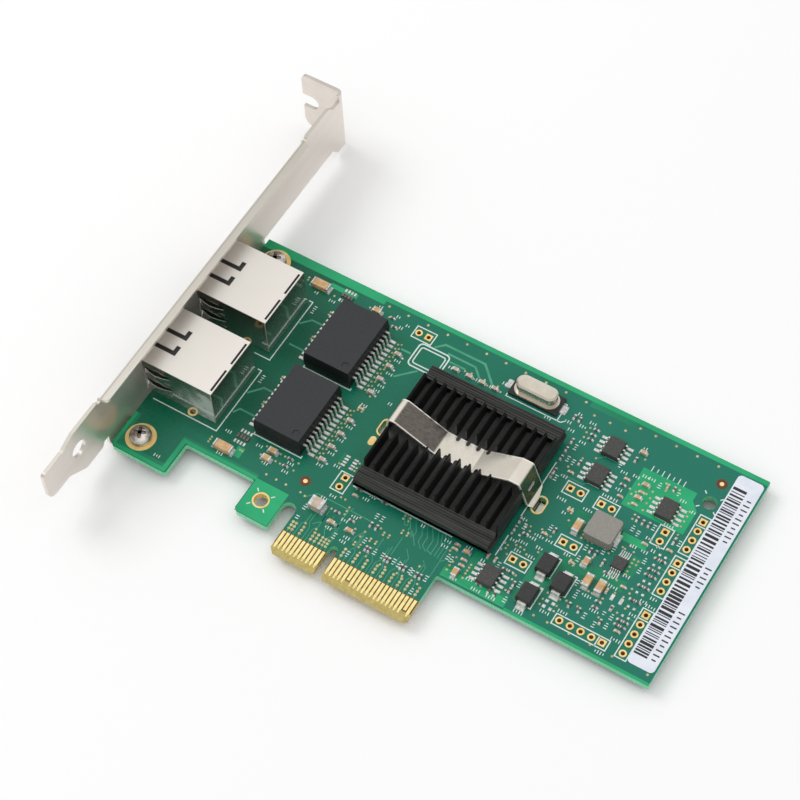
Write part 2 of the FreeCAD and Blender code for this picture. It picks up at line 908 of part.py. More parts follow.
def port_housing(edge_y):
    """The insulating body of one port, with its plug cavity and latch channel."""
    inset = shell + housing_clearance
    middle = edge_y + port_width / 2
    front = port_front + shell
    rear = port_front + port_depth - inset
    low = port_lift
    body = block(front, rear, edge_y + inset, edge_y + port_width - inset, low,
                 port_height - inset)
    floor = port_lift + plug_floor
    cavity = block(front - 1, front + plug_depth, middle - plug_width / 2,
                   middle + plug_width / 2, floor, floor + plug_height)
    latch = block(front - 1, front + latch_reach, middle - latch_width / 2,
                  middle + latch_width / 2, floor - latch_depth, floor + 1)
    half = insert_width / 2 + insert_clearance
    pocket = prism_y(insert_outline(insert_clearance), middle - half, middle + half)
    nose = block(port_front + port_wire_nose_from_front - port_wire, front + plug_depth,
                 middle - half, middle + half, floor + plug_height - 1,
                 floor + plug_height + port_wire_rise + port_wire)
    pegs = []
    for x, y in port_peg_points(edge_y):
        pegs.append(small_round(x, y, port_peg_radius, -port_peg_length, low + port_peg_root,
                                False))
    body = body.fuse(pegs)
    return body.cut([cavity, latch, pocket, nose]).removeSplitter()


def side_finger(edge_y, side, low):
    """A bowed spring finger that stands out of a side window of the shield."""
    start = port_front + finger_from_front
    end = start + finger_window_length
    wall = edge_y + shell / 2 if side < 0 else edge_y + port_width - shell / 2
    bulge = side * finger_bulge
    path = [(start - finger_root, wall)]
    for along, out in finger_bow:
        path.append((start + finger_window_length * along, wall + bulge * out))
    path.append((end + finger_root, wall))
    z0 = low + (finger_window_height - finger_width) / 2
    return prism_z(strip_outline(path, shell * finger_share), z0, z0 + finger_width)


def port_shield(edge_y):
    """The folded metal shield of one port, open at its front and underside."""
    rear = port_front + port_depth
    far_y = edge_y + port_width
    outer = block(port_front, rear, edge_y, far_y, port_lift, port_height)
    inner = block(port_front - 1, rear - shell, edge_y + shell, far_y - shell,
                  port_lift - 1, port_height - shell)
    shield = outer.cut(inner)
    top = port_height + 1
    cuts = []
    for from_edge in ell_slot_from_edge:
        y0 = edge_y + from_edge
        reach = port_front + ell_slot_reach
        cuts.append(block(port_front + slot_from_front, reach, y0, y0 + ell_slot_width,
                          port_height - 2 * shell, top))
        cuts.append(block(reach - ell_slot_width, reach, y0, y0 + ell_slot_foot,
                          port_height - 2 * shell, top))
    for from_edge in seam_slot_from_edge:
        y0 = edge_y + from_edge
        cuts.append(block(rear - shell - seam_slot_width, rear - shell, y0,
                          y0 + seam_slot_length, port_height - 2 * shell, top))
    fingers = []
    for side in (-1, 1):
        for index in range(finger_count):
            low = port_lift + finger_window_low
            low += index * (finger_window_height + finger_window_gap)
            start = port_front + finger_from_front
            wall = edge_y if side < 0 else far_y
            cuts.append(block(start, start + finger_window_length, wall - shell * 1.5,
                              wall + shell * 1.5, low, low + finger_window_height))
            fingers.append(side_finger(edge_y, side, low))
    shield = shield.cut(cuts)
    return shield.fuse(fingers + port_legs(edge_y)).removeSplitter()


def transformer(y):
    """One moulded network transformer."""
    body = drafted_body(transformer_x, y, transformer_width, transformer_length,
                        transformer_base, transformer_split, transformer_top,
                        transformer_draft)
    dimple_x = transformer_x + transformer_width / 2 - dimple_from_edge
    dimple_y = y - transformer_length / 2 + dimple_from_edge
    return body.cut(small_round(dimple_x, dimple_y, dimple_radius,
                                transformer_top - dimple_depth, transformer_top + 1))


def transformer_leads(y):
    """The two rows of leads of one transformer."""
    return gull_leads((transformer_x, y), transformer_width, transformer_lead_span,
                      transformer_split, transformer_lead_count, transformer_lead_pitch,
                      transformer_lead_width, transformer_lead_thickness)


def small_chip(centre):
    """A moulded eight-lead chip."""
    return drafted_body(centre[0], centre[1], small_chip_width, small_chip_length,
                        chip_standoff, small_chip_top * chip_split, small_chip_top,
                        chip_draft)


def small_chip_leads(centre):
    """The eight leads of one small chip."""
    return gull_leads(centre, small_chip_width, small_chip_lead_span,
                      small_chip_top * chip_split, small_chip_lead_count,
                      small_chip_lead_pitch, small_chip_lead_width,
                      small_chip_lead_thickness)


def micro_chip():
    """The smallest moulded chip."""
    return drafted_body(micro_chip_centre[0], micro_chip_centre[1], micro_chip_side,
                        micro_chip_side, chip_standoff, micro_chip_top * chip_split,
                        micro_chip_top, chip_draft)


def micro_chip_leads():
    """The ten leads of the smallest chip; its rows point along Y."""
    leads = gull_leads((0, 0), micro_chip_side, micro_chip_lead_span,
                       micro_chip_top * chip_split, micro_chip_lead_count,
                       micro_chip_lead_pitch, micro_chip_lead_width,
                       micro_chip_lead_thickness)
    for lead in leads:
        lead.rotate(V(0, 0, 0), V(0, 0, 1), 90)
        lead.translate(V(micro_chip_centre[0], micro_chip_centre[1], 0))
    return leads


def bar_outline():
    """The side view of one end bar: (distance from the sink's end, height)."""
    return [
        (0, sink_under),
        (0, bar_top - bar_shoulder),
        (bar_shoulder, bar_top),
        (bar_depth, bar_top),
        (bar_depth, sink_under),
    ]


def heat_sink():
    """The finned heat sink: floor, two end bars and a row of straight fins."""
    floor = block(sink_left, sink_right, sink_front, sink_rear, sink_under, sink_floor)
    left = sink_left + bar_end_inset
    right = sink_right - bar_end_inset
    front_bar = prism_x(sharp([(sink_front + u, v) for u, v in bar_outline()]), left, right)
    rear_bar = prism_x(sharp([(sink_rear - u, v) for u, v in bar_outline()]), left, right)
    fins = []
    front = sink_front + bar_depth
    rear = sink_rear - bar_depth
    fin_outline = sharp([
        (front, sink_under),
        (rear, sink_under),
        (rear, bar_top),
        (rear - fin_end_slope, fin_top),
        (front + fin_end_slope, fin_top),
        (front, bar_top),
    ])
    for index in range(fin_count):
        x = sink_left + index * fin_pitch
        fins.append(prism_x(fin_outline, x, x + fin_thickness))
    sink = floor.fuse([front_bar, rear_bar] + fins).removeSplitter()
    half = clip_width / 2 + clip_channel_clearance
    channel = block(sink_left - 1, sink_right + 1, clip_centre_y - half, clip_centre_y + half,
                    sink_floor, fin_top + 1)
    return sink.cut(channel)


def clip_path():
    """The clip's centre line in the XZ plane, from the left hook to the right hook."""
    crown = clip_crown - clip_thickness / 2
    flat = sink_floor + clip_thickness / 2
    under = solder_face - clip_hook_clearance - clip_thickness / 2
    return [
        (clip_tongue_left - clip_hook, under),
        (clip_tongue_left, under),
        (clip_tongue_left, clip_tongue_high),
        (clip_left_end - clip_leg_lean[0], clip_leg_low),
        (clip_left_end, crown, clip_left_bend),
        (clip_left_end + clip_left_shoulder, crown),
        (clip_flat_from, flat),
        (clip_flat_to, flat),
        (clip_right_end - clip_right_shoulder, crown),
        (clip_right_end, crown),
        (clip_right_end + clip_leg_lean[1], clip_leg_low),
        (clip_tongue_right, clip_tongue_high),
        (clip_tongue_right, under),
        (clip_tongue_right + clip_hook, under),
    ]


def clip_leg_envelope(centre_y, x0, x1):
    """The side view that one leg is trimmed to: full width, then a narrow tongue."""
    half = clip_width / 2
    foot = clip_foot_width / 2
    low = solder_face - 3 * clip_thickness
    shoulder = clip_leg_low - clip_taper_rise
    corners = [
        (centre_y - foot, low, 0),
        (centre_y + foot, low, 0),
        (centre_y + foot, shoulder, clip_taper_low_round),
        (clip_centre_y + half, clip_leg_low, clip_taper_high_round),
        (clip_centre_y + half, clip_crown + 1, 0),
        (clip_centre_y - half, clip_crown + 1, 0),
        (clip_centre_y - half, clip_leg_low, clip_taper_high_round),
        (centre_y - foot, shoulder, clip_taper_low_round),
    ]
    return prism_x(corners, x0, x1)


def clip_leg_hole(x0, x1):
    """The round-ended hole across one leg."""
    dy = clip_leg_hole_length / 2
    dz = clip_leg_hole_height / 2
    radius = dz * round_end_share
    corners = [
        (clip_leg_hole_y - dy, clip_leg_hole_z - dz, radius),
        (clip_leg_hole_y + dy, clip_leg_hole_z - dz, radius),
        (clip_leg_hole_y + dy, clip_leg_hole_z + dz, radius),
        (clip_leg_hole_y - dy, clip_leg_hole_z + dz, radius),
    ]
    return prism_x(corners, x0, x1)


def clip_notch_positions():
    """Where the clip's edge notches lie: over the gaps between the middle fins."""
    gap = fin_pitch - fin_thickness
    first = sink_left + fin_thickness + gap / 2
    return [first + (clip_notch_first_gap + index) * fin_pitch
            for index in range(clip_notch_count)]


def heat_sink_clip():
    """The sprung strip that presses the heat sink down, hooked into the board."""
    half = clip_width / 2
    strip = prism_y(strip_outline(clip_path(), clip_thickness, clip_bend),
                    clip_centre_y - half, clip_centre_y + half)
    past_left = clip_tongue_left - 2 * clip_hook
    past_right = clip_tongue_right + 2 * clip_hook
    middle = block(clip_left_end, clip_right_end, clip_centre_y - half - 1,
                   clip_centre_y + half + 1, solder_face - 1, clip_crown + 1)
    left = clip_leg_envelope(clip_slot_left[1], past_left, clip_left_end)
    right = clip_leg_envelope(clip_slot_right[1], clip_right_end, past_right)
    strip = strip.common(left.fuse([middle, right]))
    notches = [
        clip_leg_hole(past_left, clip_left_end + clip_thickness),
        clip_leg_hole(clip_right_end - clip_thickness, past_right),
    ]
    wide = clip_notch_width / 2
    for x in clip_notch_positions():
        for side in (-1, 1):
            edge = clip_centre_y + side * half
            inner = edge - side * clip_notch_depth
            corners = sharp([
                (x - wide, edge + side),
                (x - wide, edge - side * clip_notch_straight),
                (x - wide * clip_notch_floor_share, inner),
                (x + wide * clip_notch_floor_share, inner),
                (x + wide, edge - side * clip_notch_straight),
                (x + wide, edge + side),
            ])
            notches.append(prism_z(corners, sink_floor - 1, clip_crown + 1))
    return strip.cut(notches).removeSplitter()


def oval(x, y, length, width, z0, z1):
    """A round-ended prism that lies along X."""
    radius = width / 2 * round_end_share
    dx = length / 2
    dy = width / 2
    corners = [
        (x - dx, y - dy, radius),
        (x + dx, y - dy, radius),
        (x + dx, y + dy, radius),
        (x - dx, y + dy, radius),
    ]
    return prism_z(corners, z0, z1)


def crystal_can():
    """The drawn oval can of the crystal, with its welded flange."""
    x, y = crystal_centre
    low = crystal_base_thickness
    flange = oval(x, y, crystal_length, crystal_width, low, low + crystal_flange)
    can = oval(x, y, crystal_length - 2 * crystal_step, crystal_width - 2 * crystal_step,
               low, crystal_top)
    rim = [edge for edge in can.Edges if edge.BoundBox.ZMin > crystal_top - 0.01]
    can = can.makeChamfer(crystal_top_chamfer, rim)
    return flange.fuse(can).removeSplitter()


def crystal_base():
    """The insulating base plate under the crystal can."""
    x, y = crystal_centre
    return block_at(x, y, crystal_base_length, crystal_base_width, crystal_tab_thickness,
                    crystal_base_thickness)


def crystal_tabs():
    """The two flattened solder tabs of the crystal."""
    x, y = crystal_centre
    tabs = []
    for side in (-1, 1):
        inner = x + side * (crystal_base_length / 2 - crystal_tab_under)
        outer = x + side * (crystal_base_length / 2 + crystal_tab_reach)
        x0, x1 = sorted((inner, outer))
        tabs.append(block(x0, x1, y - crystal_tab_width / 2, y + crystal_tab_width / 2, 0,
                          crystal_tab_thickness))
    return tabs


def inductor():
    """The moulded power inductor."""
    x, y = inductor_centre
    dx = inductor_length / 2
    dy = inductor_width / 2
    return prism_z(chamfered(x - dx, x + dx, y - dy, y + dy, inductor_corner),
                   terminal_thickness, inductor_top)


def inductor_terminals():
    """Tinned straps folded round the inductor's ends."""
    x, y = inductor_centre
    straps = []
    for side in (-1, 1):
        face = side * (inductor_length + terminal_thickness) / 2
        path = [
            (face - side * inductor_terminal_under, terminal_thickness / 2),
            (face, terminal_thickness / 2),
            (face, inductor_terminal_height),
        ]
        strap = prism_y(strip_outline(path, terminal_thickness),
                        y - inductor_terminal_width / 2, y + inductor_terminal_width / 2)
        strap.translate(V(x, 0, 0))
        straps.append(strap)
    return straps


def rectifier(centre):
    """A moulded surface-mount rectifier body."""
    return drafted_body(centre[0], centre[1], rectifier_width, rectifier_length,
                        terminal_thickness, rectifier_top / 2, rectifier_top,
                        rectifier_draft)


def rectifier_terminals(centre):
    """The two folded terminals of one rectifier."""
    half = rectifier_length / 2
    reach = rectifier_terminal_reach
    middle = terminal_thickness / 2
    path = [
        (half, rectifier_top / 2),
        (half + reach * rectifier_shoulder_share, rectifier_top / 2),
        (half + reach, middle),
        (half - rectifier_terminal_under, middle),
    ]
    terminals = []
    for turn in (90, 270):
        strap = prism_y(strip_outline(path, terminal_thickness),
                        -rectifier_terminal_width / 2, rectifier_terminal_width / 2)
        strap.rotate(V(0, 0, 0), V(0, 0, 1), turn)
        strap.translate(V(centre[0], centre[1], 0))
        terminals.append(strap)
    return terminals


def capacitor(spec):
    """A chip capacitor: its ceramic body, then its two metal ends."""
    x, y, length, width, height, along_x = spec
    end = length * cap_end
    pieces = []
    spans = ((-length / 2, -length / 2 + end), (-length / 2 + end, length / 2 - end),
             (length / 2 - end, length / 2))
    for low, high in spans:
        if along_x:
            pieces.append(block(x + low, x + high, y - width / 2, y + width / 2, 0, height))
        else:
            pieces.append(block(x - width / 2, x + width / 2, y + low, y + high, 0, height))
    return pieces[1], [pieces[0], pieces[2]]


def edge_label():
    """The thin label along the board's far edge."""
    corners = [
        (label_left, label_bottom, label_corner),
        (label_right, label_bottom, label_corner),
        (label_right, label_top, label_corner),
        (label_left, label_top, label_corner),
    ]
    return prism_z(corners, 0, label_thickness)


save("circuit_board", circuit_board())
front_contacts, back_contacts = edge_contacts()
save("edge_contacts_front", front_contacts)
save("edge_contacts_back", back_contacts)
save("bracket", bracket())
save("bracket_screws", [bracket_screw(y) for y in screw_ys])

for number, edge_y in enumerate(port_lower_edges, 1):
    save("port_%d_shield" % number, port_shield(edge_y))
    save("port_%d_housing" % number, port_housing(edge_y))
    save("port_%d_insert" % number, port_insert(edge_y))
    save("port_%d_contacts" % number, port_wires(edge_y, port_wire))

for number, y in enumerate(transformer_ys, 1):
    save("transformer_%d_body" % number, transformer(y))
    save("transformer_%d_leads" % number, transformer_leads(y))

save("controller_chip", block_at(sink_centre_x, sink_centre_y, controller_side,
                                 controller_side, 0, controller_top))
save("thermal_pad", block_at(sink_centre_x, sink_centre_y, pad_side, pad_side,
                             controller_top, sink_under))
save("heat_sink", heat_sink())
save("heat_sink_clip", heat_sink_clip())

save("crystal_can", crystal_can())
save("crystal_base", crystal_base())
save("crystal_tabs", crystal_tabs())

save("power_inductor", inductor())
save("inductor_terminals", inductor_terminals())
save("rectifier_bodies", [rectifier(centre) for centre in rectifier_centres])
all_terminals = []
for centre in rectifier_centres:
    all_terminals.extend(rectifier_terminals(centre))
save("rectifier_terminals", all_terminals)

save("small_chip_bodies", [small_chip(centre) for centre in small_chip_centres])
small_leads = []
for centre in small_chip_centres:
    small_leads.extend(small_chip_leads(centre))
save("small_chip_leads", small_leads)
save("micro_chip_body", micro_chip())
save("micro_chip_leads", micro_chip_leads())

bodies = []
ends = []
for spec in capacitors:
    body, caps = capacitor(spec)
    bodies.append(body)
    ends.extend(caps)
save("capacitor_bodies", bodies)
save("capacitor_ends", ends)
tall_body, tall_ends = capacitor(tall_capacitor)
save("tall_capacitor_body", tall_body)
save("tall_capacitor_ends", tall_ends)

save("edge_label", edge_label())
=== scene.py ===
import math
import random

import bpy
from mathutils import Matrix, Vector


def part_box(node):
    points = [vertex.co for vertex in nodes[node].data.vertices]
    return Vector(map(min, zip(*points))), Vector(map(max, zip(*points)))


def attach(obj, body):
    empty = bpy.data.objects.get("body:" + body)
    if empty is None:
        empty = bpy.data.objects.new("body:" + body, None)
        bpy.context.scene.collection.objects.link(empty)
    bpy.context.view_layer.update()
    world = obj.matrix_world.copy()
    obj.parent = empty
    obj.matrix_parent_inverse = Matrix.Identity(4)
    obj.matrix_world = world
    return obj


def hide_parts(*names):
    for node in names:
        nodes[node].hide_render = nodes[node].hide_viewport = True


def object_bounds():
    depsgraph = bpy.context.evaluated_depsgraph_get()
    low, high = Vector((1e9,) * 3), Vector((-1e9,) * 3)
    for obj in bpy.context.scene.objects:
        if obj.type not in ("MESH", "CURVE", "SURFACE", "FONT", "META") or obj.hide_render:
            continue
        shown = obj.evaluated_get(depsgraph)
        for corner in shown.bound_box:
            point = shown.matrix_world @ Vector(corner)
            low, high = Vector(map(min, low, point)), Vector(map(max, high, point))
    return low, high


# The looks of a network interface card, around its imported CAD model.
# Lengths in the lists are in millimetres, in the model's own frame.

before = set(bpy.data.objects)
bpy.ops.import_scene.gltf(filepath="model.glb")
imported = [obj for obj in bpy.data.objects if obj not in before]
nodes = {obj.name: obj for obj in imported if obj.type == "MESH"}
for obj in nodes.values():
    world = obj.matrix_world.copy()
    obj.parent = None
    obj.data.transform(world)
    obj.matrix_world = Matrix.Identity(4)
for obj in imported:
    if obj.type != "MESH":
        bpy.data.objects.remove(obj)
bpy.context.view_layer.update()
MM = 0.001
dice = random.Random(7)

# ---------------------------------------------------------------- colours and finishes


def linear(red, green, blue):
    """A display colour, 0 to 255, as the linear colour that a shader takes."""
    made = []
    for value in (red, green, blue):
        share = value / 255
        made.append(share / 12.92 if share <= 0.04045 else ((share + 0.055) / 1.055) ** 2.4)
    return (made[0], made[1], made[2], 1.0)


def new_material(name):
    material = bpy.data.materials.new(name)
    material.use_nodes = True
    tree = material.node_tree
    shader = tree.nodes["Principled BSDF"]
    return material, tree, shader


def object_place(tree, stretch=(1, 1, 1)):
    """The object's own coordinates, stretched along each axis."""
    place = tree.nodes.new("ShaderNodeTexCoord")
    mapping = tree.nodes.new("ShaderNodeMapping")
    mapping.inputs["Scale"].default_value = stretch
    tree.links.new(place.outputs["Object"], mapping.inputs["Vector"])
    return mapping.outputs["Vector"]


def noise(tree, vector, scale, detail=3.0, rough=0.55):
    node = tree.nodes.new("ShaderNodeTexNoise")
    node.inputs["Scale"].default_value = scale
    node.inputs["Detail"].default_value = detail
    node.inputs["Roughness"].default_value = rough
    tree.links.new(vector, node.inputs["Vector"])
    return node.outputs["Fac"]


def ramp(tree, factor, low, high, colour_a, colour_b):
    node = tree.nodes.new("ShaderNodeValToRGB")
    node.color_ramp.elements[0].position = low
    node.color_ramp.elements[1].position = high
    node.color_ramp.elements[0].color = colour_a
    node.color_ramp.elements[1].color = colour_b
    tree.links.new(factor, node.inputs["Fac"])
    return node.outputs["Color"]


def value_range(tree, factor, to_low, to_high, from_low=0.3, from_high=0.7):
    node = tree.nodes.new("ShaderNodeMapRange")
    node.inputs["From Min"].default_value = from_low
    node.inputs["From Max"].default_value = from_high
    node.inputs["To Min"].default_value = to_low
    node.inputs["To Max"].default_value = to_high
    tree.links.new(factor, node.inputs["Value"])
    return node.outputs["Result"]


def feed(tree, socket, value):
    """Links an output to a socket, or sets a plain value on it."""
    if isinstance(value, bpy.types.NodeSocket):
        tree.links.new(value, socket)
    else:
        socket.default_value = value


def mix(tree, factor, a, b, kind="RGBA"):
    first, result = {"FLOAT": (2, 0), "RGBA": (6, 2)}[kind]
    node = tree.nodes.new("ShaderNodeMix")
    node.data_type = kind
    for index, value in ((0, factor), (first, a), (first + 1, b)):
        feed(tree, node.inputs[index], value)
    return node.outputs[result]


def math_node(tree, kind, a, b=0.0):
    node = tree.nodes.new("ShaderNodeMath")
    node.operation = kind
    feed(tree, node.inputs[0], a)
    feed(tree, node.inputs[1], b)
    return node.outputs[0]


def times(tree, product, *factors):
    for factor in factors:
        product = math_node(tree, "MULTIPLY", product, factor)
    return product


def tones(tree, factor, dark, light, low=0.3, high=0.7):
    """A ramp between two display colours."""
    return ramp(tree, factor, low, high, linear(*dark), linear(*light))


def separate(tree, vector):
    """The X, Y and Z of a vector, as a node's outputs."""
    node = tree.nodes.new("ShaderNodeSeparateXYZ")
    tree.links.new(vector, node.inputs["Vector"])
    return node.outputs


def span(tree, place, start, end, low=0.0, high=1.0):
    """From low to high while a place goes from start to end, in millimetres."""
    return value_range(tree, place, low, high, start * MM, end * MM)


def beyond(tree, place, limit):
    """1 where a place is more than the limit, in millimetres, and 0 elsewhere."""
    return math_node(tree, "GREATER_THAN", place, limit * MM)


def off_middle(tree, place, middle):
    """The distance of a place from a middle that is given in millimetres."""
    return math_node(tree, "ABSOLUTE", math_node(tree, "SUBTRACT", place, middle * MM))


def normal_share(tree, axis):
    """How far a face looks along one axis, either way: 1 is straight along it."""
    geometry = tree.nodes.new("ShaderNodeNewGeometry")
    return math_node(tree, "ABSOLUTE", separate(tree, geometry.outputs["True Normal"])[axis])


def facing(tree, axis, low, high):
    """0 to 1 as a face turns to look along one axis, either way."""
    return value_range(tree, normal_share(tree, axis), 0.0, 1.0, low, high)


def dress(tree, shader, colour, rough, metal=0.0, specular=0.5):
    """The shader's main inputs, each from a link or as a plain value."""
    for name, value in (("Base Color", colour), ("Roughness", rough), ("Metallic", metal),
                        ("Specular IOR Level", specular)):
        feed(tree, shader.inputs[name], value)


def bump(tree, shader, height, strength, depth=0.02):
    """A fine relief; depth is in millimetres."""
    node = tree.nodes.new("ShaderNodeBump")
    node.inputs["Strength"].default_value = strength
    node.inputs["Distance"].default_value = depth * MM
    tree.links.new(height, node.inputs["Height"])
    tree.links.new(node.outputs["Normal"], shader.inputs["Normal"])


GLOSS_SPREAD = 0.06


def surface(name, dark, light, rough, metal=0.0, grain=600, relief=0.0, specular=0.5):
    """A procedural finish: two close tones, uneven gloss and a fine relief."""
    material, tree, shader = new_material(name)
    grains = noise(tree, object_place(tree), grain)
    gloss = value_range(tree, grains, rough - GLOSS_SPREAD, rough + GLOSS_SPREAD)
    dress(tree, shader, tones(tree, grains, dark, light, 0.35, 0.65), gloss, metal, specular)
    if relief:
        bump(tree, shader, grains, relief)
    return material


FLAT_FACE = 0.93
TONGUE_LEFT, TONGUE_RIGHT, TONGUE_TOP = -13, 23, 5.85


def board_material():
    """Solder mask on the faces, bare laminate on the cut edges and between the contacts, with
    painted sheen and shade.
    """
    material, tree, shader = new_material("board_mask")
    place = object_place(tree)
    slow = noise(tree, place, 38.0, 2.0)
    fine = noise(tree, object_place(tree, (1, 1, 0.1)), 900.0, 2.0)
    at = separate(tree, place)
    # Painted sheen: the mask grows lighter towards the right, with some random tone.
    far = math_node(tree, "ADD", span(tree, at["X"], -60, 60),
                    value_range(tree, slow, -0.18, 0.18))
    mask = tones(tree, far, (7, 108, 79), (27, 117, 98), 0.0, 1.0)
    mask = mix(tree, value_range(tree, slow, 0.0, 0.14), mask, linear(40, 128, 102))
    # Painted shade: the mask darkens beside the ports.
    port_shade = times(tree, span(tree, at["X"], -37, -27, 0.4, 0.0), span(tree, at["Y"], 16, 20))
    mask = mix(tree, port_shade, mask, linear(0, 66, 42))
    edge = math_node(tree, "LESS_THAN", normal_share(tree, "Z"), FLAT_FACE)
    tongue = times(tree, math_node(tree, "LESS_THAN", at["Y"], TONGUE_TOP * MM),
                   beyond(tree, at["X"], TONGUE_LEFT),
                   math_node(tree, "LESS_THAN", at["X"], TONGUE_RIGHT * MM))
    gold_edge = tones(tree, fine, (178, 160, 92), (200, 182, 116))
    # Between the contacts: bare laminate, darkened as painted shade.
    laminate_gap_shade = tones(tree, fine, (86, 62, 22), (108, 82, 36))
    face = times(tree, span(tree, at["Y"], 1.9, 2.3), math_node(tree, "SUBTRACT", 1.0, edge))
    # Cut edges: the laminate's own colour, lightened as painted light.
    laminate_rim_lit = tones(tree, slow, (104, 204, 150), (126, 216, 166))
    colour = mix(tree, tongue, mix(tree, edge, mask, laminate_rim_lit), mix(tree, face, gold_edge, laminate_gap_shade))
    dress(tree, shader, colour, value_range(tree, fine, 0.24, 0.34), specular=0.28)
    bump(tree, shader, slow, 0.02, 0.03)
    return material


def mould_material():
    """Grey moulding compound, near black on its upright faces as painted shade."""
    material, tree, shader = new_material("grey_mould")
    grains = noise(tree, object_place(tree), 1600.0)
    # A lit tone on top and a darker side tone that is painted shade.
    top = tones(tree, grains, (50, 51, 53), (55, 56, 58), 0.35, 0.65)
    side = tones(tree, grains, (26, 27, 28), (34, 35, 36), 0.35, 0.65)
    dress(tree, shader, mix(tree, facing(tree, "Z", 0.5, 0.9), side, top),
          value_range(tree, grains, 0.5, 0.6), specular=0.3)
    bump(tree, shader, grains, 0.03)
    return material


def bracket_material():
    """Nickel-plated sheet: fine rolling lines, painted shade darkening the folded edges."""
    material, tree, shader = new_material("nickel_sheet")
    rolled = noise(tree, object_place(tree, (1, 0.1, 1)), 220.0)
    plate = tones(tree, rolled, (227, 218, 210), (235, 227, 219))
    # Painted shade: faces that look up or down, the folded edges, are darker.
    shaded_fold = tones(tree, rolled, (200, 194, 183), (212, 207, 197))
    dress(tree, shader, mix(tree, facing(tree, "Z", 0.45, 0.8), plate, shaded_fold),
          value_range(tree, rolled, 0.28, 0.34), 0.78)
    bump(tree, shader, rolled, 0.01)
    return material


SHIELD_LIP = 11.72
SHIELD_CORNER = -39.74


def shield_material():
    """Bright nickel: mirror-like sides with a painted reflection that darkens upwards, a painted
    highlight on the fronts, and a softer even top with painted shade by the bracket.
    """
    material, tree, shader = new_material("nickel_shield")
    place = object_place(tree)
    uneven = noise(tree, place, 70.0)
    blur = noise(tree, place, 260.0, 2.0)
    at = separate(tree, place)
    top = facing(tree, "Z", 0.4, 0.8)
    front = facing(tree, "Y", 0.6, 0.9)
    to_end = span(tree, at["X"], -54, -40)
    # Sides: a painted reflection, pale low down and darker upwards.
    side = mix(tree, span(tree, at["Z"], 1, 11), linear(226, 226, 220), linear(132, 130, 120))
    # Painted highlight on the front faces, strongest low down and away from the bracket.
    painted_front_highlight = times(tree, front, to_end, value_range(tree, blur, 0.45, 1.3),
                 span(tree, at["Z"], 2, 11, 1.3, 0.5), span(tree, at["Y"], 30, 31, 0.95, 0.3))
    side = mix(tree, painted_front_highlight, side, linear(226, 232, 226))
    pale = math_node(tree, "MAXIMUM", beyond(tree, at["Z"], SHIELD_LIP),
                     times(tree, front, beyond(tree, at["X"], SHIELD_CORNER)))
    side = mix(tree, pale, side, linear(206, 196, 178))
    # Top: painted shade towards the bracket, paler away from it, with random paler patches.
    even = mix(tree, to_end, linear(214, 209, 201), linear(230, 224, 217))
    even = mix(tree, value_range(tree, uneven, 0.0, 0.2), even, linear(240, 235, 228))
    shine = value_range(tree, math_node(tree, "MAXIMUM", painted_front_highlight, pale), 0.92, 0.4)
    dress(tree, shader, mix(tree, top, side, even), value_range(tree, top, 0.13, 0.4, 0.0, 1.0),
          mix(tree, top, shine, 0.5, "FLOAT"))
    bump(tree, shader, uneven, 0.05, 0.1)
    return material


def clip_material():
    """Bright spring steel, with painted shade on its left slope, painted highlights on its long
    edges and a painted reflection of the board on its legs.
    """
    material, tree, shader = new_material("spring_steel")
    place = object_place(tree)
    at = separate(tree, place)
    from_middle = off_middle(tree, at["Y"], 40.0)
    brushed = noise(tree, object_place(tree, (0.06, 1, 1)), 2600.0, 4.0)
    soft = noise(tree, place, 160.0)
    bright = tones(tree, soft, (222, 215, 201), (232, 226, 214), 0.35, 0.65)
    # Painted highlights along the long edges.
    bright = mix(tree, span(tree, from_middle, 2.85, 3.0), bright, linear(244, 240, 230))
    # Painted shade on the left slope, over the brushed grain.
    dark = tones(tree, brushed, (86, 80, 74), (116, 110, 103))
    inside = span(tree, from_middle, 2.9, 3.05, 1.0, 0.0)
    slope = times(tree, span(tree, at["X"], -3.15, -2.75),
                  span(tree, at["X"], 6.9, 7.3, 1.0, 0.0), span(tree, at["Z"], 2.6, 2.8), inside)
    # Painted reflection: the legs take the board's green.
    reflecting_leg = times(tree, facing(tree, "X", 0.55, 0.85), inside)
    colour = mix(tree, reflecting_leg, mix(tree, slope, bright, dark), linear(112, 122, 104))
    dress(tree, shader, colour, value_range(tree, soft, 0.24, 0.3),
          value_range(tree, reflecting_leg, 0.5, 0.95, 0.0, 1.0))
    bump(tree, shader, soft, 0.02)
    return material


def sink_material():
    """Black anodised metal, brushed along the fins, with painted light on the channel floors and
    painted shade on the fin walls.
    """
    material, tree, shader = new_material("black_anodised")
    brushed = noise(tree, object_place(tree, (1, 0.05, 1)), 1500.0, 3.0)
    along_bar = noise(tree, object_place(tree, (0.04, 1, 1)), 1700.0, 3.0)
    bars = beyond(tree, off_middle(tree, separate(tree, object_place(tree))["Y"], 39.0), 13.2)
    # Lit and shaded copies: the channel floors are painted light, the fin walls painted shade.
    lit_floor_tone = tones(tree, brushed, (66, 66, 65), (86, 86, 84))
    shaded_wall_tone = tones(tree, brushed, (18, 18, 18), (28, 28, 27))
    bar_tone = tones(tree, along_bar, (32, 32, 31), (64, 64, 62), 0.35, 0.65)
    fins = mix(tree, facing(tree, "Z", 0.5, 0.9), shaded_wall_tone, lit_floor_tone)
    dress(tree, shader, mix(tree, bars, fins, bar_tone), value_range(tree, brushed, 0.4, 0.52),
          specular=0.35)
    bump(tree, shader, brushed, 0.06, 0.03)
    return material


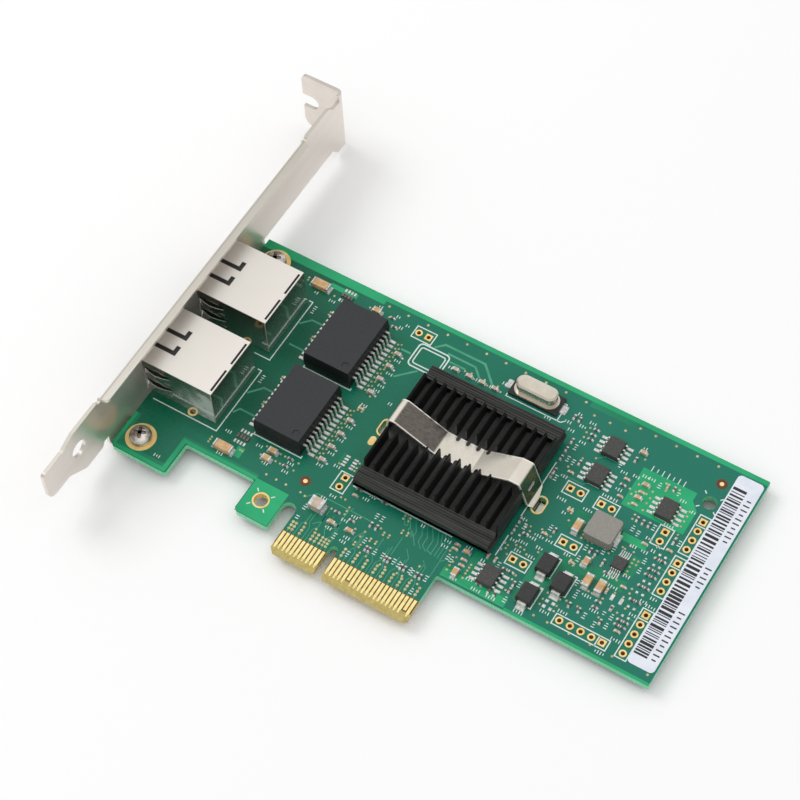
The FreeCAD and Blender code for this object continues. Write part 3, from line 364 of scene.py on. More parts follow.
MASK = board_material()
POUR = surface("copper_under_mask", (26, 156, 104), (42, 176, 118), 0.3, grain=60,
               specular=0.28)
POUR_DIM = surface("copper_under_mask_dim", (20, 124, 88), (34, 140, 102), 0.3, grain=60,
                   specular=0.28)
TRACE = surface("trace_under_mask", (58, 150, 116), (78, 166, 132), 0.3, grain=300)
SILK = surface("white_ink", (206, 222, 216), (234, 242, 238), 0.55, grain=2500, relief=0.2)
GOLD = surface("gold_plating", (246, 222, 144), (254, 238, 170), 0.3, 0.62, grain=900)
LAND = surface("gold_land", (244, 202, 122), (253, 226, 156), 0.4, 0.25, grain=500)
BARREL = surface("plated_barrel", (176, 112, 54), (214, 150, 84), 0.4, 0.3, grain=900)
VIA = surface("filled_via", (170, 158, 104), (214, 204, 160), 0.4, 0.3, grain=1500)
SOLDER = surface("solder", (188, 190, 188), (232, 232, 228), 0.3, 0.55, grain=1400, relief=0.5)
LEAD = surface("tin_lead", (214, 213, 208), (242, 240, 235), 0.28, 0.65, grain=900)
SCREW = surface("nickel_screw", (116, 104, 94), (236, 230, 222), 0.2, 0.8, grain=420)
PLASTIC = surface("black_plastic", (22, 22, 23), (34, 34, 35), 0.45, grain=1200, relief=0.1)
CHIP = surface("chip_mould", (60, 61, 58), (74, 75, 71), 0.5, grain=1800, relief=0.12,
               specular=0.4)
DARK_CHIP = surface("rectifier_mould", (42, 43, 42), (54, 55, 53), 0.5, grain=1800,
                    relief=0.08, specular=0.4)
PAD = surface("thermal_pad", (120, 122, 124), (140, 142, 144), 0.8, grain=900, relief=0.3)
CAN = surface("drawn_can", (208, 200, 184), (221, 214, 199), 0.26, 0.85, grain=300, relief=0.03)
FERRITE = surface("ferrite", (138, 135, 128), (152, 149, 141), 0.7, grain=2600, relief=0.15)
TAN = surface("tan_ceramic", (198, 154, 106), (222, 184, 138), 0.4, grain=700, relief=0.1)
PALE_TAN = surface("pale_ceramic", (182, 164, 144), (206, 190, 172), 0.4, grain=700)
RESISTOR = surface("resistor_body", (84, 80, 76), (120, 114, 108), 0.5, grain=1500)
LABEL = surface("label_paper", (224, 230, 242), (236, 240, 248), 0.6, grain=300, relief=0.05)
INK = surface("label_ink", (26, 26, 28), (44, 44, 46), 0.6, grain=1500)
RECESS = surface("recess_shade", (96, 86, 76), (150, 140, 128), 0.3, 0.6, grain=1400)
COPPER = surface("bare_ring", (92, 44, 26), (122, 62, 38), 0.45, 0.2, grain=1200)
MOULD = mould_material()
BRACKET = bracket_material()
SHIELD = shield_material()
CLIP = clip_material()
SINK = sink_material()
# Painted highlight for the thin strips along the fins' tops.
FIN_TOP_HIGHLIGHT = surface("painted_fin_top_highlight", (96, 96, 94), (128, 128, 125), 0.4, 0.3, grain=900)

# ---------------------------------------------------------------- mesh code


class Piece:
    """Collects small solids, in millimetres, for one object."""

    def __init__(self):
        self.points = []
        self.faces = []
        self.tones = []

    def ring(self, outline, height):
        start = len(self.points)
        self.points.extend((x * MM, y * MM, height * MM) for x, y in outline)
        return list(range(start, start + len(outline)))

    def face(self, corners, tone):
        self.faces.append(corners)
        self.tones.append(tone)

    def band(self, lower, upper, tone):
        count = len(lower)
        for index in range(count):
            after = (index + 1) % count
            self.face([lower[index], lower[after], upper[after], upper[index]], tone)

    def prism(self, outline, low, high, tone=0, top=None):
        """An outline extruded up; top is its outline at the top, where that differs."""
        lower = self.ring(outline, low)
        upper = self.ring(top or outline, high)
        self.face(lower[::-1], tone)
        self.face(upper, tone)
        self.band(lower, upper, tone)

    def box(self, x, y, dx, dy, low, high, tone=0, shrink=0.0):
        top = rectangle(x, y, dx - 2 * shrink, dy - 2 * shrink) if shrink else None
        self.prism(rectangle(x, y, dx, dy), low, high, tone, top)

    def washer(self, outer, inner, low, high, tone=0):
        """A flat ring between two outlines with the same number of corners."""
        rings = [self.ring(inner, low), self.ring(outer, low), self.ring(outer, high),
                 self.ring(inner, high)]
        for index in range(4):
            self.band(rings[index], rings[(index + 1) % 4], tone)

    def lathe(self, x, y, profile, sides, tone=0):
        """A turned form: profile is a list of (radius, height) from bottom to top."""
        rings = [self.ring(circle(x, y, radius, sides), height) for radius, height in profile]
        for lower, upper in zip(rings, rings[1:]):
            self.band(lower, upper, tone)
        self.face(rings[0][::-1], tone)
        self.face(rings[-1], tone)

    def slab(self, profile, x0, x1, tone=0):
        """A side view of (y, z) points drawn out along X."""
        ends = []
        for x in (x0, x1):
            start = len(self.points)
            self.points.extend((x * MM, y * MM, z * MM) for y, z in profile)
            ends.append(list(range(start, start + len(profile))))
        self.face(ends[0][::-1], tone)
        self.face(ends[1], tone)
        self.band(ends[0], ends[1], tone)

    def line(self, path, width, low, high, tone=0, closed=False):
        """A flat strip along a path, mitred at its corners."""
        count = len(path)
        left = []
        right = []
        for index in range(count):
            here = Vector(path[index])
            before = Vector(path[index - 1]) if index or closed else None
            last = index == count - 1
            after = Vector(path[(index + 1) % count]) if closed or not last else None
            way_in = (here - before).normalized() if before else None
            way_out = (after - here).normalized() if after else None
            way_in = way_in or way_out
            way_out = way_out or way_in
            normal = Vector((-way_in.y - way_out.y, way_in.x + way_out.x)).normalized()
            reach = width / 2 / max(normal.dot(Vector((-way_in.y, way_in.x))), 0.4)
            left.append(tuple(here + normal * reach))
            right.append(tuple(here - normal * reach))
        if closed:
            self.washer(right, left, low, high, tone)
        else:
            self.prism(right + left[::-1], low, high, tone)

    def make(self, name, materials, smooth=False):
        mesh = bpy.data.meshes.new(name)
        mesh.from_pydata(self.points, [], self.faces)
        for material in materials:
            mesh.materials.append(material)
        mesh.polygons.foreach_set("material_index", self.tones)
        mesh.polygons.foreach_set("use_smooth", [smooth] * len(self.faces))
        mesh.update()
        made = bpy.data.objects.new(name, mesh)
        bpy.context.scene.collection.objects.link(made)
        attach(made, "root")
        return made


def rectangle(x, y, dx, dy):
    return [(x - dx / 2, y - dy / 2), (x + dx / 2, y - dy / 2),
            (x + dx / 2, y + dy / 2), (x - dx / 2, y + dy / 2)]


def circle(x, y, radius, sides):
    return [(x + radius * math.cos(2 * math.pi * (index + 0.5) / sides),
             y + radius * math.sin(2 * math.pi * (index + 0.5) / sides))
            for index in range(sides)]


def stadium(x, y, dx, dy, sides=16):
    """A round-ended slot, longer along Y."""
    radius = dx / 2
    shift = dy / 2 - radius
    return [(u, v + (shift if v > y else -shift)) for u, v in circle(x, y, radius, sides)]


def rounded(x0, x1, y0, y1, radius, steps=5):
    """A rectangle with round corners."""
    corners = []
    for cx, cy, start in ((x1 - radius, y1 - radius, 0), (x0 + radius, y1 - radius, 90),
                          (x0 + radius, y0 + radius, 180), (x1 - radius, y0 + radius, 270)):
        for index in range(steps + 1):
            angle = math.radians(start + 90 * index / steps)
            corners.append((cx + radius * math.cos(angle), cy + radius * math.sin(angle)))
    return corners


def frame_path(x0, x1, y0, y1):
    return [(x0, y0), (x1, y0), (x1, y1), (x0, y1)]


# ---------------------------------------------------------------- board layers

# Heights over the board's face; BACK is the board's other face
POUR_TOP = 0.010
TRACE_TOP = 0.022
VIA_TOP = 0.035
PAD_TOP = 0.05
INK_TOP = 0.06
BACK = -1.57

pours = Piece()
bright_areas = (
    frame_path(-56.84, 72.79, 67.7, 68.84), frame_path(-56.84, -24, 66.6, 67.7),
    frame_path(-37.5, -30.3, 64.56, 65.8),
    [(-43.6, 12.95), (-43.6, 5.5), (-42.5, 5.5), (-42.5, 13.05), (-24, 13.05), (-24, 13.9),
     (-43.6, 13.9)],
    [(-56.84, 5.4), (-56, 4.56), (-42.5, 4.56), (-42.5, 5.5), (-56.84, 5.5)],
    frame_path(-56.84, -56, 5.5, 14.4),
    [(47.5, 47.9), (62.5, 47.9), (62.5, 54.3), (60.5, 56.4), (60.5, 58.5), (47.5, 58.5)],
    frame_path(51.3, 57.3, 40.3, 42.2), frame_path(22.5, 38.1, 13.4, 15.6),
    frame_path(-32, -30.2, 15.7, 18.4), frame_path(38.3, 72.79, 12.96, 13.6),
)
dim_areas = (
    frame_path(29.8, 41, 66.2, 67.7), frame_path(40.2, 43.5, 37.2, 42.2),
    [(38.4, 28.9), (43.4, 28.9), (43.4, 31.4), (50, 31.4), (50, 28.6), (47.4, 28.6),
     (47.4, 22.6), (43.4, 22.6), (43.4, 16.2), (38.4, 16.2)],
    [(22.5, 15.6), (38.1, 15.6), (38.1, 16.6), (28.4, 16.6), (28.4, 22.6), (26.4, 22.6),
     (26.4, 16.6), (22.5, 16.6)],
    frame_path(50.2, 57.8, 29, 31.8), frame_path(55.9, 58, 33.2, 38.2),
    frame_path(-10.9, -10.2, 25.8, 28.7),
    [(-56, 5.5), (-43.6, 5.5), (-43.6, 6.4), (-55.2, 6.4), (-55.2, 14.4), (-56, 14.4)],
    frame_path(-43.6, -24, 13.9, 14.5),
)
for tone, areas in enumerate((bright_areas, dim_areas)):
    for area in areas:
        pours.prism(area, 0, POUR_TOP, tone)
# The copper on the catch ear: square outside, round inside
EAR_X, EAR_Y = -20.2, 9.35
EAR_RING = 1.95
EAR_BOX = (-23.95, -15.65, 4.55, 13.6)
angles = sorted([2 * math.pi * index / 40 for index in range(40)]
                + [math.atan2(v - EAR_Y, u - EAR_X) % (2 * math.pi)
                   for u in EAR_BOX[:2] for v in EAR_BOX[2:]])
ear_outer = []
for angle in angles:
    way_x = math.cos(angle)
    way_y = math.sin(angle)
    reach_x = (EAR_BOX[1] if way_x > 0 else EAR_BOX[0]) - EAR_X
    reach_y = (EAR_BOX[3] if way_y > 0 else EAR_BOX[2]) - EAR_Y
    reach = min(abs(reach_x) / max(abs(way_x), 1e-6), abs(reach_y) / max(abs(way_y), 1e-6))
    ear_outer.append((EAR_X + reach * way_x, EAR_Y + reach * way_y))
ear_inner = [(EAR_X + EAR_RING * math.cos(angle), EAR_Y + EAR_RING * math.sin(angle))
             for angle in angles]
pours.washer(ear_outer, ear_inner, 0, POUR_TOP)
pours.make("board_pours", [POUR, POUR_DIM])

traces = Piece()


def trace(path, width=0.16):
    traces.line(path, width, 0, TRACE_TOP)


trace([(-8, 62.3), (-6.1, 64.2), (4.2, 64.2), (8.5, 60)], 0.55)
trace([(-4.5, 62.4), (2.7, 62.4), (5, 60.2)], 0.5)
trace([(-3, 60.7), (1, 60.7)], 0.45)
trace([(-12, 51), (-8, 55)], 0.5)
trace([(-14.3, 58.2), (-11.8, 58.2)], 0.5)
trace([(-38, 52.5), (-35.9, 54.7), (-33, 54.7)], 0.5)
trace([(-37, 46.7), (-33, 46.7)], 0.45)
trace([(-38, 30.9), (-35.4, 33.9), (-33, 33.9)], 0.5)
trace([(-38, 25), (-37, 26.6), (-33, 26.6)], 0.45)
trace([(-12.2, 15.1), (-10.4, 17.0), (3.2, 17.0)], 0.2)
trace([(38.8, 56.4), (37.5, 55.2)])
trace([(33, 48), (38, 48), (39.1, 49)])
for index, x in enumerate((11.4, 12.9, 14.2, 15.6)):
    trace([(x, 22.3), (x + 1.6, 19.7), (x + 1.6, 18.6 - index * 0.5), (x + 3.0, 16.6)])
for index, x in enumerate((8.6, 9.4, 10.0)):
    trace([(x, 22.3), (x + 1.3, 20.0), (x + 2.4, 20.0 - index * 0.4), (x + 3.3, 18.0)])
for index, x in enumerate((17.2, 18.1, 18.9, 19.7)):
    trace([(x, 22.2), (x + 1.2, 19.6), (x + 1.2, 16.8 - index * 0.2)])
trace([(21.9, 17.2), (21.0, 16.0), (21.0, 11.5), (20.6, 10.2)])
contact_vias = (-11.2, -10.4, -8.5, -5.7, -4.7, 2.1, 5.1, 7.6, 10.1, 12.0, 14.2, 16.2, 18.1, 20.6)
for x in contact_vias:
    trace([(x, 5.7), (x, 8.8)], 0.2)
for index, x in enumerate((-9.5, -7.4, -6.6, -3.6, -2.6, -1.6, 3.1, 4.2, 6.4, 8.6, 9.3, 11.2,
                           13.1, 15.2, 17.2, 19.2)):
    bend = (-1) ** index * 0.7
    trace([(x, 5.7), (x, 8.9), (x + bend, 10.1), (x + bend, 12.2 + (index % 4) * 0.6)], 0.14)
trace([(-7.4, 10.1), (-5.9, 11.6), (-5.9, 15.3)])
trace([(-1.6, 17.8), (-2.3, 16.6), (-2.3, 12.0), (-3.4, 10.8)])
trace([(2.3, 10.7), (2.3, 12.1), (3.3, 13.9)])
trace([(7.8, 10.3), (7.8, 14.8)])
trace([(13.1, 10.6), (13.1, 12.8)])
trace([(11.2, 12.2), (11.2, 17.2)], 0.14)
trace([(17.9, 14.6), (19.2, 13.2), (19.2, 11.9)], 0.14)
trace([(13.4, 15.2), (14.9, 13.4), (14.9, 12.0)], 0.14)
trace([(22.7, 13.65), (38.1, 13.65)], 0.12)
for y in (41.2, 38.3, 35.4, 32.2, 27.0, 24.5, 21.8):
    trace([(62.5, y), (63.9, y)], 0.14)
traces.make("board_traces", [TRACE])

vias = Piece()


def via(x, y, radius=0.27):
    vias.lathe(x, y, ((radius, 0), (radius, VIA_TOP), (radius * 0.45, VIA_TOP + 0.01)), 8)
    vias.prism(circle(x, y, radius, 8), BACK - VIA_TOP, BACK)


top_row = (-22.6, -17.5, -12.3, -7.1, -2, 3.1, 8.1, 13.2, 18.4, 23.5, 28.6, 42.2, 46.0, 51.1,
           56.2, 61.4)
for x in top_row:
    via(x, 66.75, 0.33)
for x in (31.8, 35.7, 39.6):
    via(x, 64.65, 0.33)
for x in (-22.7, -20.1, -17.6, -13.8):
    via(x, 15.4, 0.3)
via(-12.5, 15.1, 0.3)
for x in (44.5, 47.8, 53, 58, 63.2, 71.5):
    via(x, 15.15, 0.3)
for x in contact_vias:
    for y in (6.7, 7.6, 8.5):
        via(x, y, 0.36)
for x in (-3.6, -2.8, -2.0):
    for y in (6.8, 7.6, 8.4):
        via(x, y, 0.33)
loose_vias = (
    (38.4, 41.6), (39.2, 41.6), (38.6, 40.7), (39.4, 40.5), (39.8, 38.7), (44.2, 37.3),
    (44.2, 36.3), (45.8, 37.5), (46.7, 37.5), (45.8, 36.4), (46.8, 36.4), (54.2, 39.9),
    (52.9, 38.8), (53.5, 38.7), (55.5, 38.9), (56.4, 37.4), (57.4, 37.4), (56.4, 36.4),
    (57.4, 36.4), (56.4, 35.4), (56.5, 34.2), (56.5, 33.4), (48.6, 54.1), (48.9, 52.2),
    (48.3, 51.2), (48.9, 48.8), (52, 54), (51.1, 52.8), (52.3, 52.3), (52.2, 50.8), (52.3, 48.9),
    (47.4, 52.2), (61.2, 53.6), (61.2, 52.3), (61.2, 50.9), (61.2, 49.5), (53.6, 57.3),
    (56.8, 57.3), (54.3, 55.6), (32.6, 61.4), (32.4, 60), (32.5, 58.6), (33.2, 50.3), (34.9, 53.7),
    (37.4, 55.2), (46.8, 60.3), (31.5, 26.9), (31.5, 26), (32.4, 24.9), (33.1, 27.8), (34.1, 27.8),
    (35.1, 27.7), (36.1, 26.9), (38, 28.6), (36.6, 21.4), (36.4, 20.2), (36.5, 17.3), (44.3, 19.5),
    (47.6, 19.5), (44.3, 18.1), (47.7, 18.1), (44.6, 22.3), (44.5, 21.3), (47.5, 22.2),
    (47.5, 21.2), (42.9, 21.3), (42.5, 16.7), (39.6, 16.4), (50.4, 25.9), (51.7, 25.9),
    (52.6, 25.9), (53.9, 25.9), (55.1, 25.9), (54.6, 31.2), (55.6, 31.2), (56.7, 28.4),
    (58.7, 28.4), (59.4, 29.8), (59.3, 31), (60.2, 28.6), (45, 29.7), (45.9, 29.6), (44.9, 30.6),
    (47.3, 32.4), (48.6, 33.4), (48.6, 32.2), (51, 32.5), (51, 36), (48.4, 36.6), (32.4, 33.2),
    (33.5, 33.3), (33.9, 32.2), (36, 33.9), (37, 33.6), (38.4, 33.3), (60.3, 26.2), (59.3, 24.5),
    (48.8, 21.6), (51.4, 21.6), (56.5, 21.6), (51.4, 47.1), (51.4, 45.9), (61.6, 47.4),
    (8.9, 21.9), (8.9, 21.1), (10.2, 21.9), (10.2, 21.1), (10.4, 18.6), (11.7, 18.6), (10.4, 17.9),
    (11.7, 17.9), (7.2, 16.1), (7.2, 15.5), (8.5, 16.1), (8.5, 15.5), (5.5, 13.4), (6.9, 13.4),
    (5.5, 12.8), (6.9, 12.8), (3, 11), (3, 10.3), (4.3, 11), (4.3, 10.3), (3.5, 14.2), (3.2, 12.7),
    (-2.6, 17.6), (-2.6, 16.5), (-2.6, 15.6), (-5.8, 15.4), (6, 16.6), (17.9, 12.9), (-8.7, 9.5),
    (-5.9, 9.4), (5.2, 9.3), (6.8, 9.2), (10.4, 9.1), (11.7, 9.1), (14.6, 9.1), (15.9, 9.1),
    (18.2, 9.2), (19.7, 9.1), (1.3, 13.7), (0.8, 16.6), (-6.5, 28), (-6.5, 26.7), (-6.5, 25.9),
    (-10.4, 25.8), (-5.5, 18.8), (-4.4, 18.8), (23.6, 18.8), (23.5, 17.5), (23.3, 16.4),
    (23.3, 15.2), (27.2, 18.8), (27.2, 18), (27.2, 17.2), (27.2, 16.4), (27.2, 15.2), (21.6, 19.5),
    (-33.4, 30.8), (-33.4, 30.1), (-33.4, 58.7), (-33.4, 57.9), (-33.4, 51), (-33.4, 50.3),
    (-33.4, 38.5), (-33.4, 37.8), (-38.4, 17.4), (-38.4, 16.7), (-38.4, 16), (-31.1, 17.7),
    (-30.5, 17.7), (-42.9, 64.4), (-42.8, 63.7), (-35.1, 62.9), (-26.5, 21.5), (-22.7, 21.3),
    (-26.5, 19), (-22.8, 19.2), (-21.6, 21.3), (-18.1, 21.3), (-21.6, 19.2), (-18.1, 19.2),
    (-26.3, 64.3), (-22.9, 64.1), (-21.1, 64.2), (-19.2, 62.2), (-17.9, 62.2), (-14.2, 39.6),
    (-13.2, 39.6), (-14.3, 40.7), (-13.3, 40.7), (-13.7, 43.9), (1.2, 60.3), (2.8, 60.5),
    (6.2, 60.5), (9.6, 60.5), (4, 59.5), (7.4, 59.5), (10.8, 59.5),
)
for x, y in loose_vias:
    via(x, y)
LEAD_PITCH = 1.27
lead_rows = [middle + (index - 5.5) * LEAD_PITCH for middle in (31.55, 51.85)
             for index in range(12)]
for index, y in enumerate(lead_rows):
    via(-15.5, y, 0.28)
    via(-14.75, y + (0.35 if index % 3 else -0.35), 0.24)
vias.make("board_vias", [VIA])

# Plated lands: header rows, screw rings, the ear's hole, the clip's slots, the shields' legs
lands = Piece()
# x, y, count, steps along X and Y, and which land is square
header_rows = (
    (-13.05, 63.95, 2, 1, 0, 1), (36.25, 45.8, 2, 1, 0, 0), (43.9, 45.75, 2, 1, 0, 0),
    (41.35, 33.5, 2, 1, 0, 0), (34.15, 24.45, 2, 1, 0, 0), (59.0, 46.55, 2, 0, -1, 0),
    (-7.3, 23.4, 2, 0, -1, 0), (64.85, 52.75, 4, 0, -1, 0), (64.8, 41.2, 4, 0, -1, 0),
    (64.8, 27.0, 5, 0, -1, 0), (49.75, 16.8, 5, 1, 0, 4),
)
HOLE, LAND_RADIUS, LAND_HALF = 0.5, 0.875, 0.82
HEADER_PITCH = 2.54
for x, y, count, step_x, step_y, square in header_rows:
    for index in range(count):
        cx = x + step_x * index * HEADER_PITCH
        cy = y + step_y * index * HEADER_PITCH
        inner = circle(cx, cy, HOLE, 16)
        outer = back_outer = circle(cx, cy, LAND_RADIUS, 16)
        if index == square:
            outer = [(cx + max(-LAND_HALF, min(LAND_HALF, (u - cx) * 2)),
                      cy + max(-LAND_HALF, min(LAND_HALF, (v - cy) * 2))) for u, v in outer]
        lands.washer(outer, inner, 0, PAD_TOP)
        lands.washer(back_outer, inner, BACK - PAD_TOP, BACK)
        lands.washer(inner, circle(cx, cy, HOLE - 0.04, 16), BACK, 0, 1)
SCREWS = ((-52.0, 9.4), (-52.0, 64.1))
SCREW_RING = 3.55
for x, y in SCREWS:
    lands.washer(circle(x, y, SCREW_RING, 48), circle(x, y, 1.6, 48), 0, 0.04)


def both_faces(outer, inner, thick=PAD_TOP):
    lands.washer(outer, inner, 0, thick)
    lands.washer(outer, inner, BACK - thick, BACK)


ear_hole = circle(EAR_X, EAR_Y, 1.65, 36)
both_faces(circle(EAR_X, EAR_Y, 1.98, 36), ear_hole)
lands.washer(ear_hole, circle(EAR_X, EAR_Y, 1.6, 36), BACK, PAD_TOP)
SLOT_RIM_TOP = 0.07
for x, y in ((32.5, 38.8), (-6.5, 38.65)):
    both_faces(stadium(x, y, 2.95, 4.9), stadium(x, y, 2.32, 4.06), SLOT_RIM_TOP)
lands.prism(stadium(-7.25, 34.35, 1.5, 2.5), 0, PAD_TOP)
LEG_X, LEG_LAND, LEG_HOLE = -45.71, 1.2, 0.72
for y in (20.7, 36.5, 42.35, 58.15):
    both_faces(circle(LEG_X, y, LEG_LAND, 24), circle(LEG_X, y, LEG_HOLE, 24))
lands.make("plated_lands", [LAND, BARREL])

targets = Piece()
for x, y in ((-14.4, 18.3), (64.0, 63.2)):
    targets.lathe(x, y, ((1.25, 0), (1.25, 0.03), (1.15, 0.04)), 32, 0)
    targets.lathe(x, y, ((0.52, 0.04), (0.5, 0.07), (0.3, 0.08)), 24, 1)
targets.make("alignment_targets", [COPPER, GOLD])

# ---------------------------------------------------------------- white ink

ink = Piece()
INK_WIDTH = 0.26


def ink_line(path, closed=False, width=INK_WIDTH):
    ink.line(path, width, 0, INK_TOP, closed=closed)


for box in ((-14.2, -9.1, 62.3, 65.5), (12.3, 25.3, 59.3, 64), (35, 40, 44.1, 47.3),
            (42.7, 47.8, 44.1, 47.2), (57.3, 60.6, 42.7, 47.8), (63.55, 66.15, 43.7, 54.2),
            (63.5, 66.15, 32.1, 42.7), (63.5, 66.15, 15.5, 28.3), (40.1, 45.2, 31.9, 35),
            (33, 38, 22.8, 25.9), (-8.9, -5.7, 19.6, 24.5), (48.5, 61.3, 15.4, 18)):
    ink_line(frame_path(*box), True)
for split in ([(63.55, 51.5), (66.15, 51.5)], [(63.5, 39.95), (66.15, 39.95)],
              [(63.5, 25.75), (66.15, 25.75)], [(58.8, 15.4), (58.8, 18)]):
    ink_line(split)
ink_line(rounded(-11.2, -3.4, 55.5, 61.9, 1.0), True, 0.34)
ink_line(rounded(-10.4, -4.1, 56.4, 61.0, 0.6), True, 0.3)
ink_line([(25.3, 59.3), (26.2, 59.3), (27.0, 60.1)])
ink_line([(-42.5, 40.7), (-38.4, 40.7), (-38.4, 58.9), (-39.4, 58.9)])
ink_line([(-55.4, 19.1), (-38.4, 19.1), (-38.4, 37.4), (-39.4, 37.4)])
for y in (43.0, 22.7):
    ink_line([(-30.8, y + 0.6), (-30.8, y), (-18.4, y), (-18.4, y + 0.6)])
ink_line([(-4.8, 22.55), (20.3, 22.55)])
ink_line([(30.45, 34.4), (30.45, 50.0)])
ink_line([(30.45, 23.4), (30.45, 29.0)])
for x, y in ((40.2, 56.7), (40.2, 48.9), (56.8, 48.9)):
    ink_line([(x - 1.4, y), (x + 1.4, y)])
for x, low, high in ((43.2, 24.4, 29.5), (48.15, 22.1, 27.5), (43.2, 16.0, 21.5)):
    ink_line([(x - 0.6, high), (x, high), (x, low), (x - 0.6, low)])
for x, y, low, high in ((-20.2, 9.35, 2.3, 3.2), (63.9, 57.75, 2.35, 3.2)):
    for quarter in range(4):
        angle = math.radians(45 + 90 * quarter)
        ink_line([(x + low * math.cos(angle), y + low * math.sin(angle)),
                  (x + high * math.cos(angle), y + high * math.sin(angle))])


def marks(x, y, count=3, turned=False, tall=0.8, gap=0.62):
    """A row of short plain dashes, where a place is marked."""
    for index in range(count):
        shift = (index - (count - 1) / 2) * gap
        size = tall * (1.0 if (index + int(x)) % 3 else 0.62)
        if turned:
            ink.box(x, y + shift, size, 0.2, 0, INK_TOP)
        else:
            ink.box(x + shift, y, 0.2, size, 0, INK_TOP)


# x, y, and the number of dashes where it isn't three
for place in (
    (-46.2, 7.2), (-39.2, 61.6, 2), (-34.8, 61.4), (-34.6, 14.7), (-24.2, 65.6, 2),
    (-19.3, 65.3, 2), (-17.3, 63, 2), (-16.2, 64.2, 2), (-36, 20.4), (-28, 20.7), (-24.6, 17.6),
    (-19.6, 20.3), (-19.6, 18), (-13.3, 54.9), (-13.1, 51.1), (-13, 47.4), (-13.3, 45.9),
    (-13.6, 41.2), (-13.4, 34.7), (-13.4, 30.9), (-13.3, 27), (-13.9, 23.3), (-10.4, 24.9),
    (-0.6, 21.1), (-7.2, 18.1), (-8.6, 16.7), (-1.8, 14.3), (-0.4, 16.1), (-3.9, 11), (0.8, 10.9),
    (0.5, 9.7), (0.4, 22.3), (13.5, 21.7, 2), (20, 21.2), (20, 19.8), (24.8, 22.1), (25.6, 14.1),
    (28.8, 20.9, 2), (28.6, 15.6), (31, 14.1, 4), (34.6, 14.1, 4), (41.3, 14.1, 4),
    (46.1, 16.9, 4), (49.4, 18.8, 4), (60.5, 14.5, 4), (62, 18.7, 4), (51.9, 24.7, 4),
    (54.9, 22.4, 4), (55.6, 29.3, 4), (53.3, 30.9), (62.3, 25.6), (62.8, 29.5), (64.7, 29.1, 4),
    (64.4, 31.1), (37.4, 26.8), (34, 26.7), (32, 28.5), (34, 29, 4), (35, 31, 4), (36.2, 32.1, 4),
    (38.7, 32.1), (43.6, 31.2), (37.7, 29.6), (31.4, 34.1), (35.9, 42.5, 4), (42.1, 42.9, 4),
    (56.8, 43.4), (59.5, 42.6, 2), (44, 48, 4), (45.8, 48), (58.9, 48.3, 4), (58.8, 55.2),
    (49, 56.5), (47.2, 55.5), (50.5, 56.6), (44.4, 55.1), (45.4, 50.8), (33.6, 47.7), (32.9, 57.2),
    (32.6, 62.6), (31, 60.8), (45.6, 62.7, 2), (29, 63.3, 2), (27.6, 60.3), (29.2, 58.7),
    (62, 53.8, 2), (38, 39.8, 2), (54.7, 40.1), (57.4, 40.1), (56.9, 33), (58.9, 41.2, 2),
    (61.4, 39.9), (10.8, 61.9), (-2.1, 59.5, 2), (4.9, 59.6, 2), (8.4, 59.6, 2), (-8.8, 44.4, 2),
    (23.2, 58.9),
):
    marks(*place)
for place in (
    (-37.1, 57.3, 4), (-37.1, 35.6, 4), (-11, 12.9), (-1.7, 10), (-11.1, 9.9, 2), (3.1, 7.7),
    (3.7, 18.7), (5.1, 18.7), (4.6, 12.4), (7.9, 11.1), (9.8, 11.1), (12.6, 11.1), (13.9, 11.1),
    (16.7, 11.1), (17.3, 10.8), (20.6, 11.1), (22, 18), (22.9, 17.8), (19.5, 7), (32.2, 55.4),
    (32.2, 52), (33.6, 51.8), (32.2, 46.5), (42.8, 56.1, 2), (52.6, 56.1), (57.1, 56.2, 2),
    (52.6, 43.9), (54.1, 43.3), (56.4, 46.3), (62.9, 45.6), (58.5, 38.2), (58.6, 35.6),
    (51.5, 37.4), (37.4, 35.2), (46.2, 34.8), (49.9, 35.8), (46.1, 31.6), (49.6, 27.4),
    (48.7, 26.4), (49.8, 24, 4), (53.7, 20.4), (56.4, 19.6), (58.8, 20.6), (58.8, 23), (57, 23, 2),
    (38.4, 19.9), (37.5, 15.3), (32.4, 32.6), (32.2, 21.7),
):
    marks(*place, turned=True)
marks(53.2, 59.1, 7, tall=1.5, gap=1.3)
ink.make("board_ink", [SILK])

# ---------------------------------------------------------------- solder and small parts

solder = Piece()
bodies = Piece()
DARK, BROWN, PALE = 0, 1, 2


def pad(x, y, dx, dy, high=PAD_TOP, shrink=0.04):
    solder.box(x, y, dx, dy, 0, high, 0, shrink)


END_SHARE = 0.24
FILLET_LONG, FILLET_HIGH, FILLET_OUT, FILLET_SLOPE = 0.42, 0.2, 0.08, 0.09


def chip(x, y, length, width, height, tone, turned=False):
    """A small two-ended part: body, two metal ends and their solder."""
    def lay(piece, shift, size, wide, low, high, tone=0, shrink=0.0):
        if turned:
            piece.box(x, y + shift, wide, size, low, high, tone, shrink)
        else:
            piece.box(x + shift, y, size, wide, low, high, tone, shrink)

    lay(bodies, 0, length * (1 - 2 * END_SHARE), width, 0.02, height, tone)
    for way in (-1, 1):
        lay(solder, way * length * (1 - END_SHARE) / 2, length * END_SHARE, width, 0,
            height + 0.02, shrink=0.02)
        lay(solder, way * (length / 2 + FILLET_OUT), FILLET_LONG, width + 0.1, 0, FILLET_HIGH,
            shrink=FILLET_SLOPE)


def small(x, y, turned=False, tone=DARK):
    chip(x, y, 1.1, 0.55, 0.4, tone, turned)


def medium(x, y, tone=BROWN):
    chip(x, y, 1.55, 0.85, 0.75, tone)


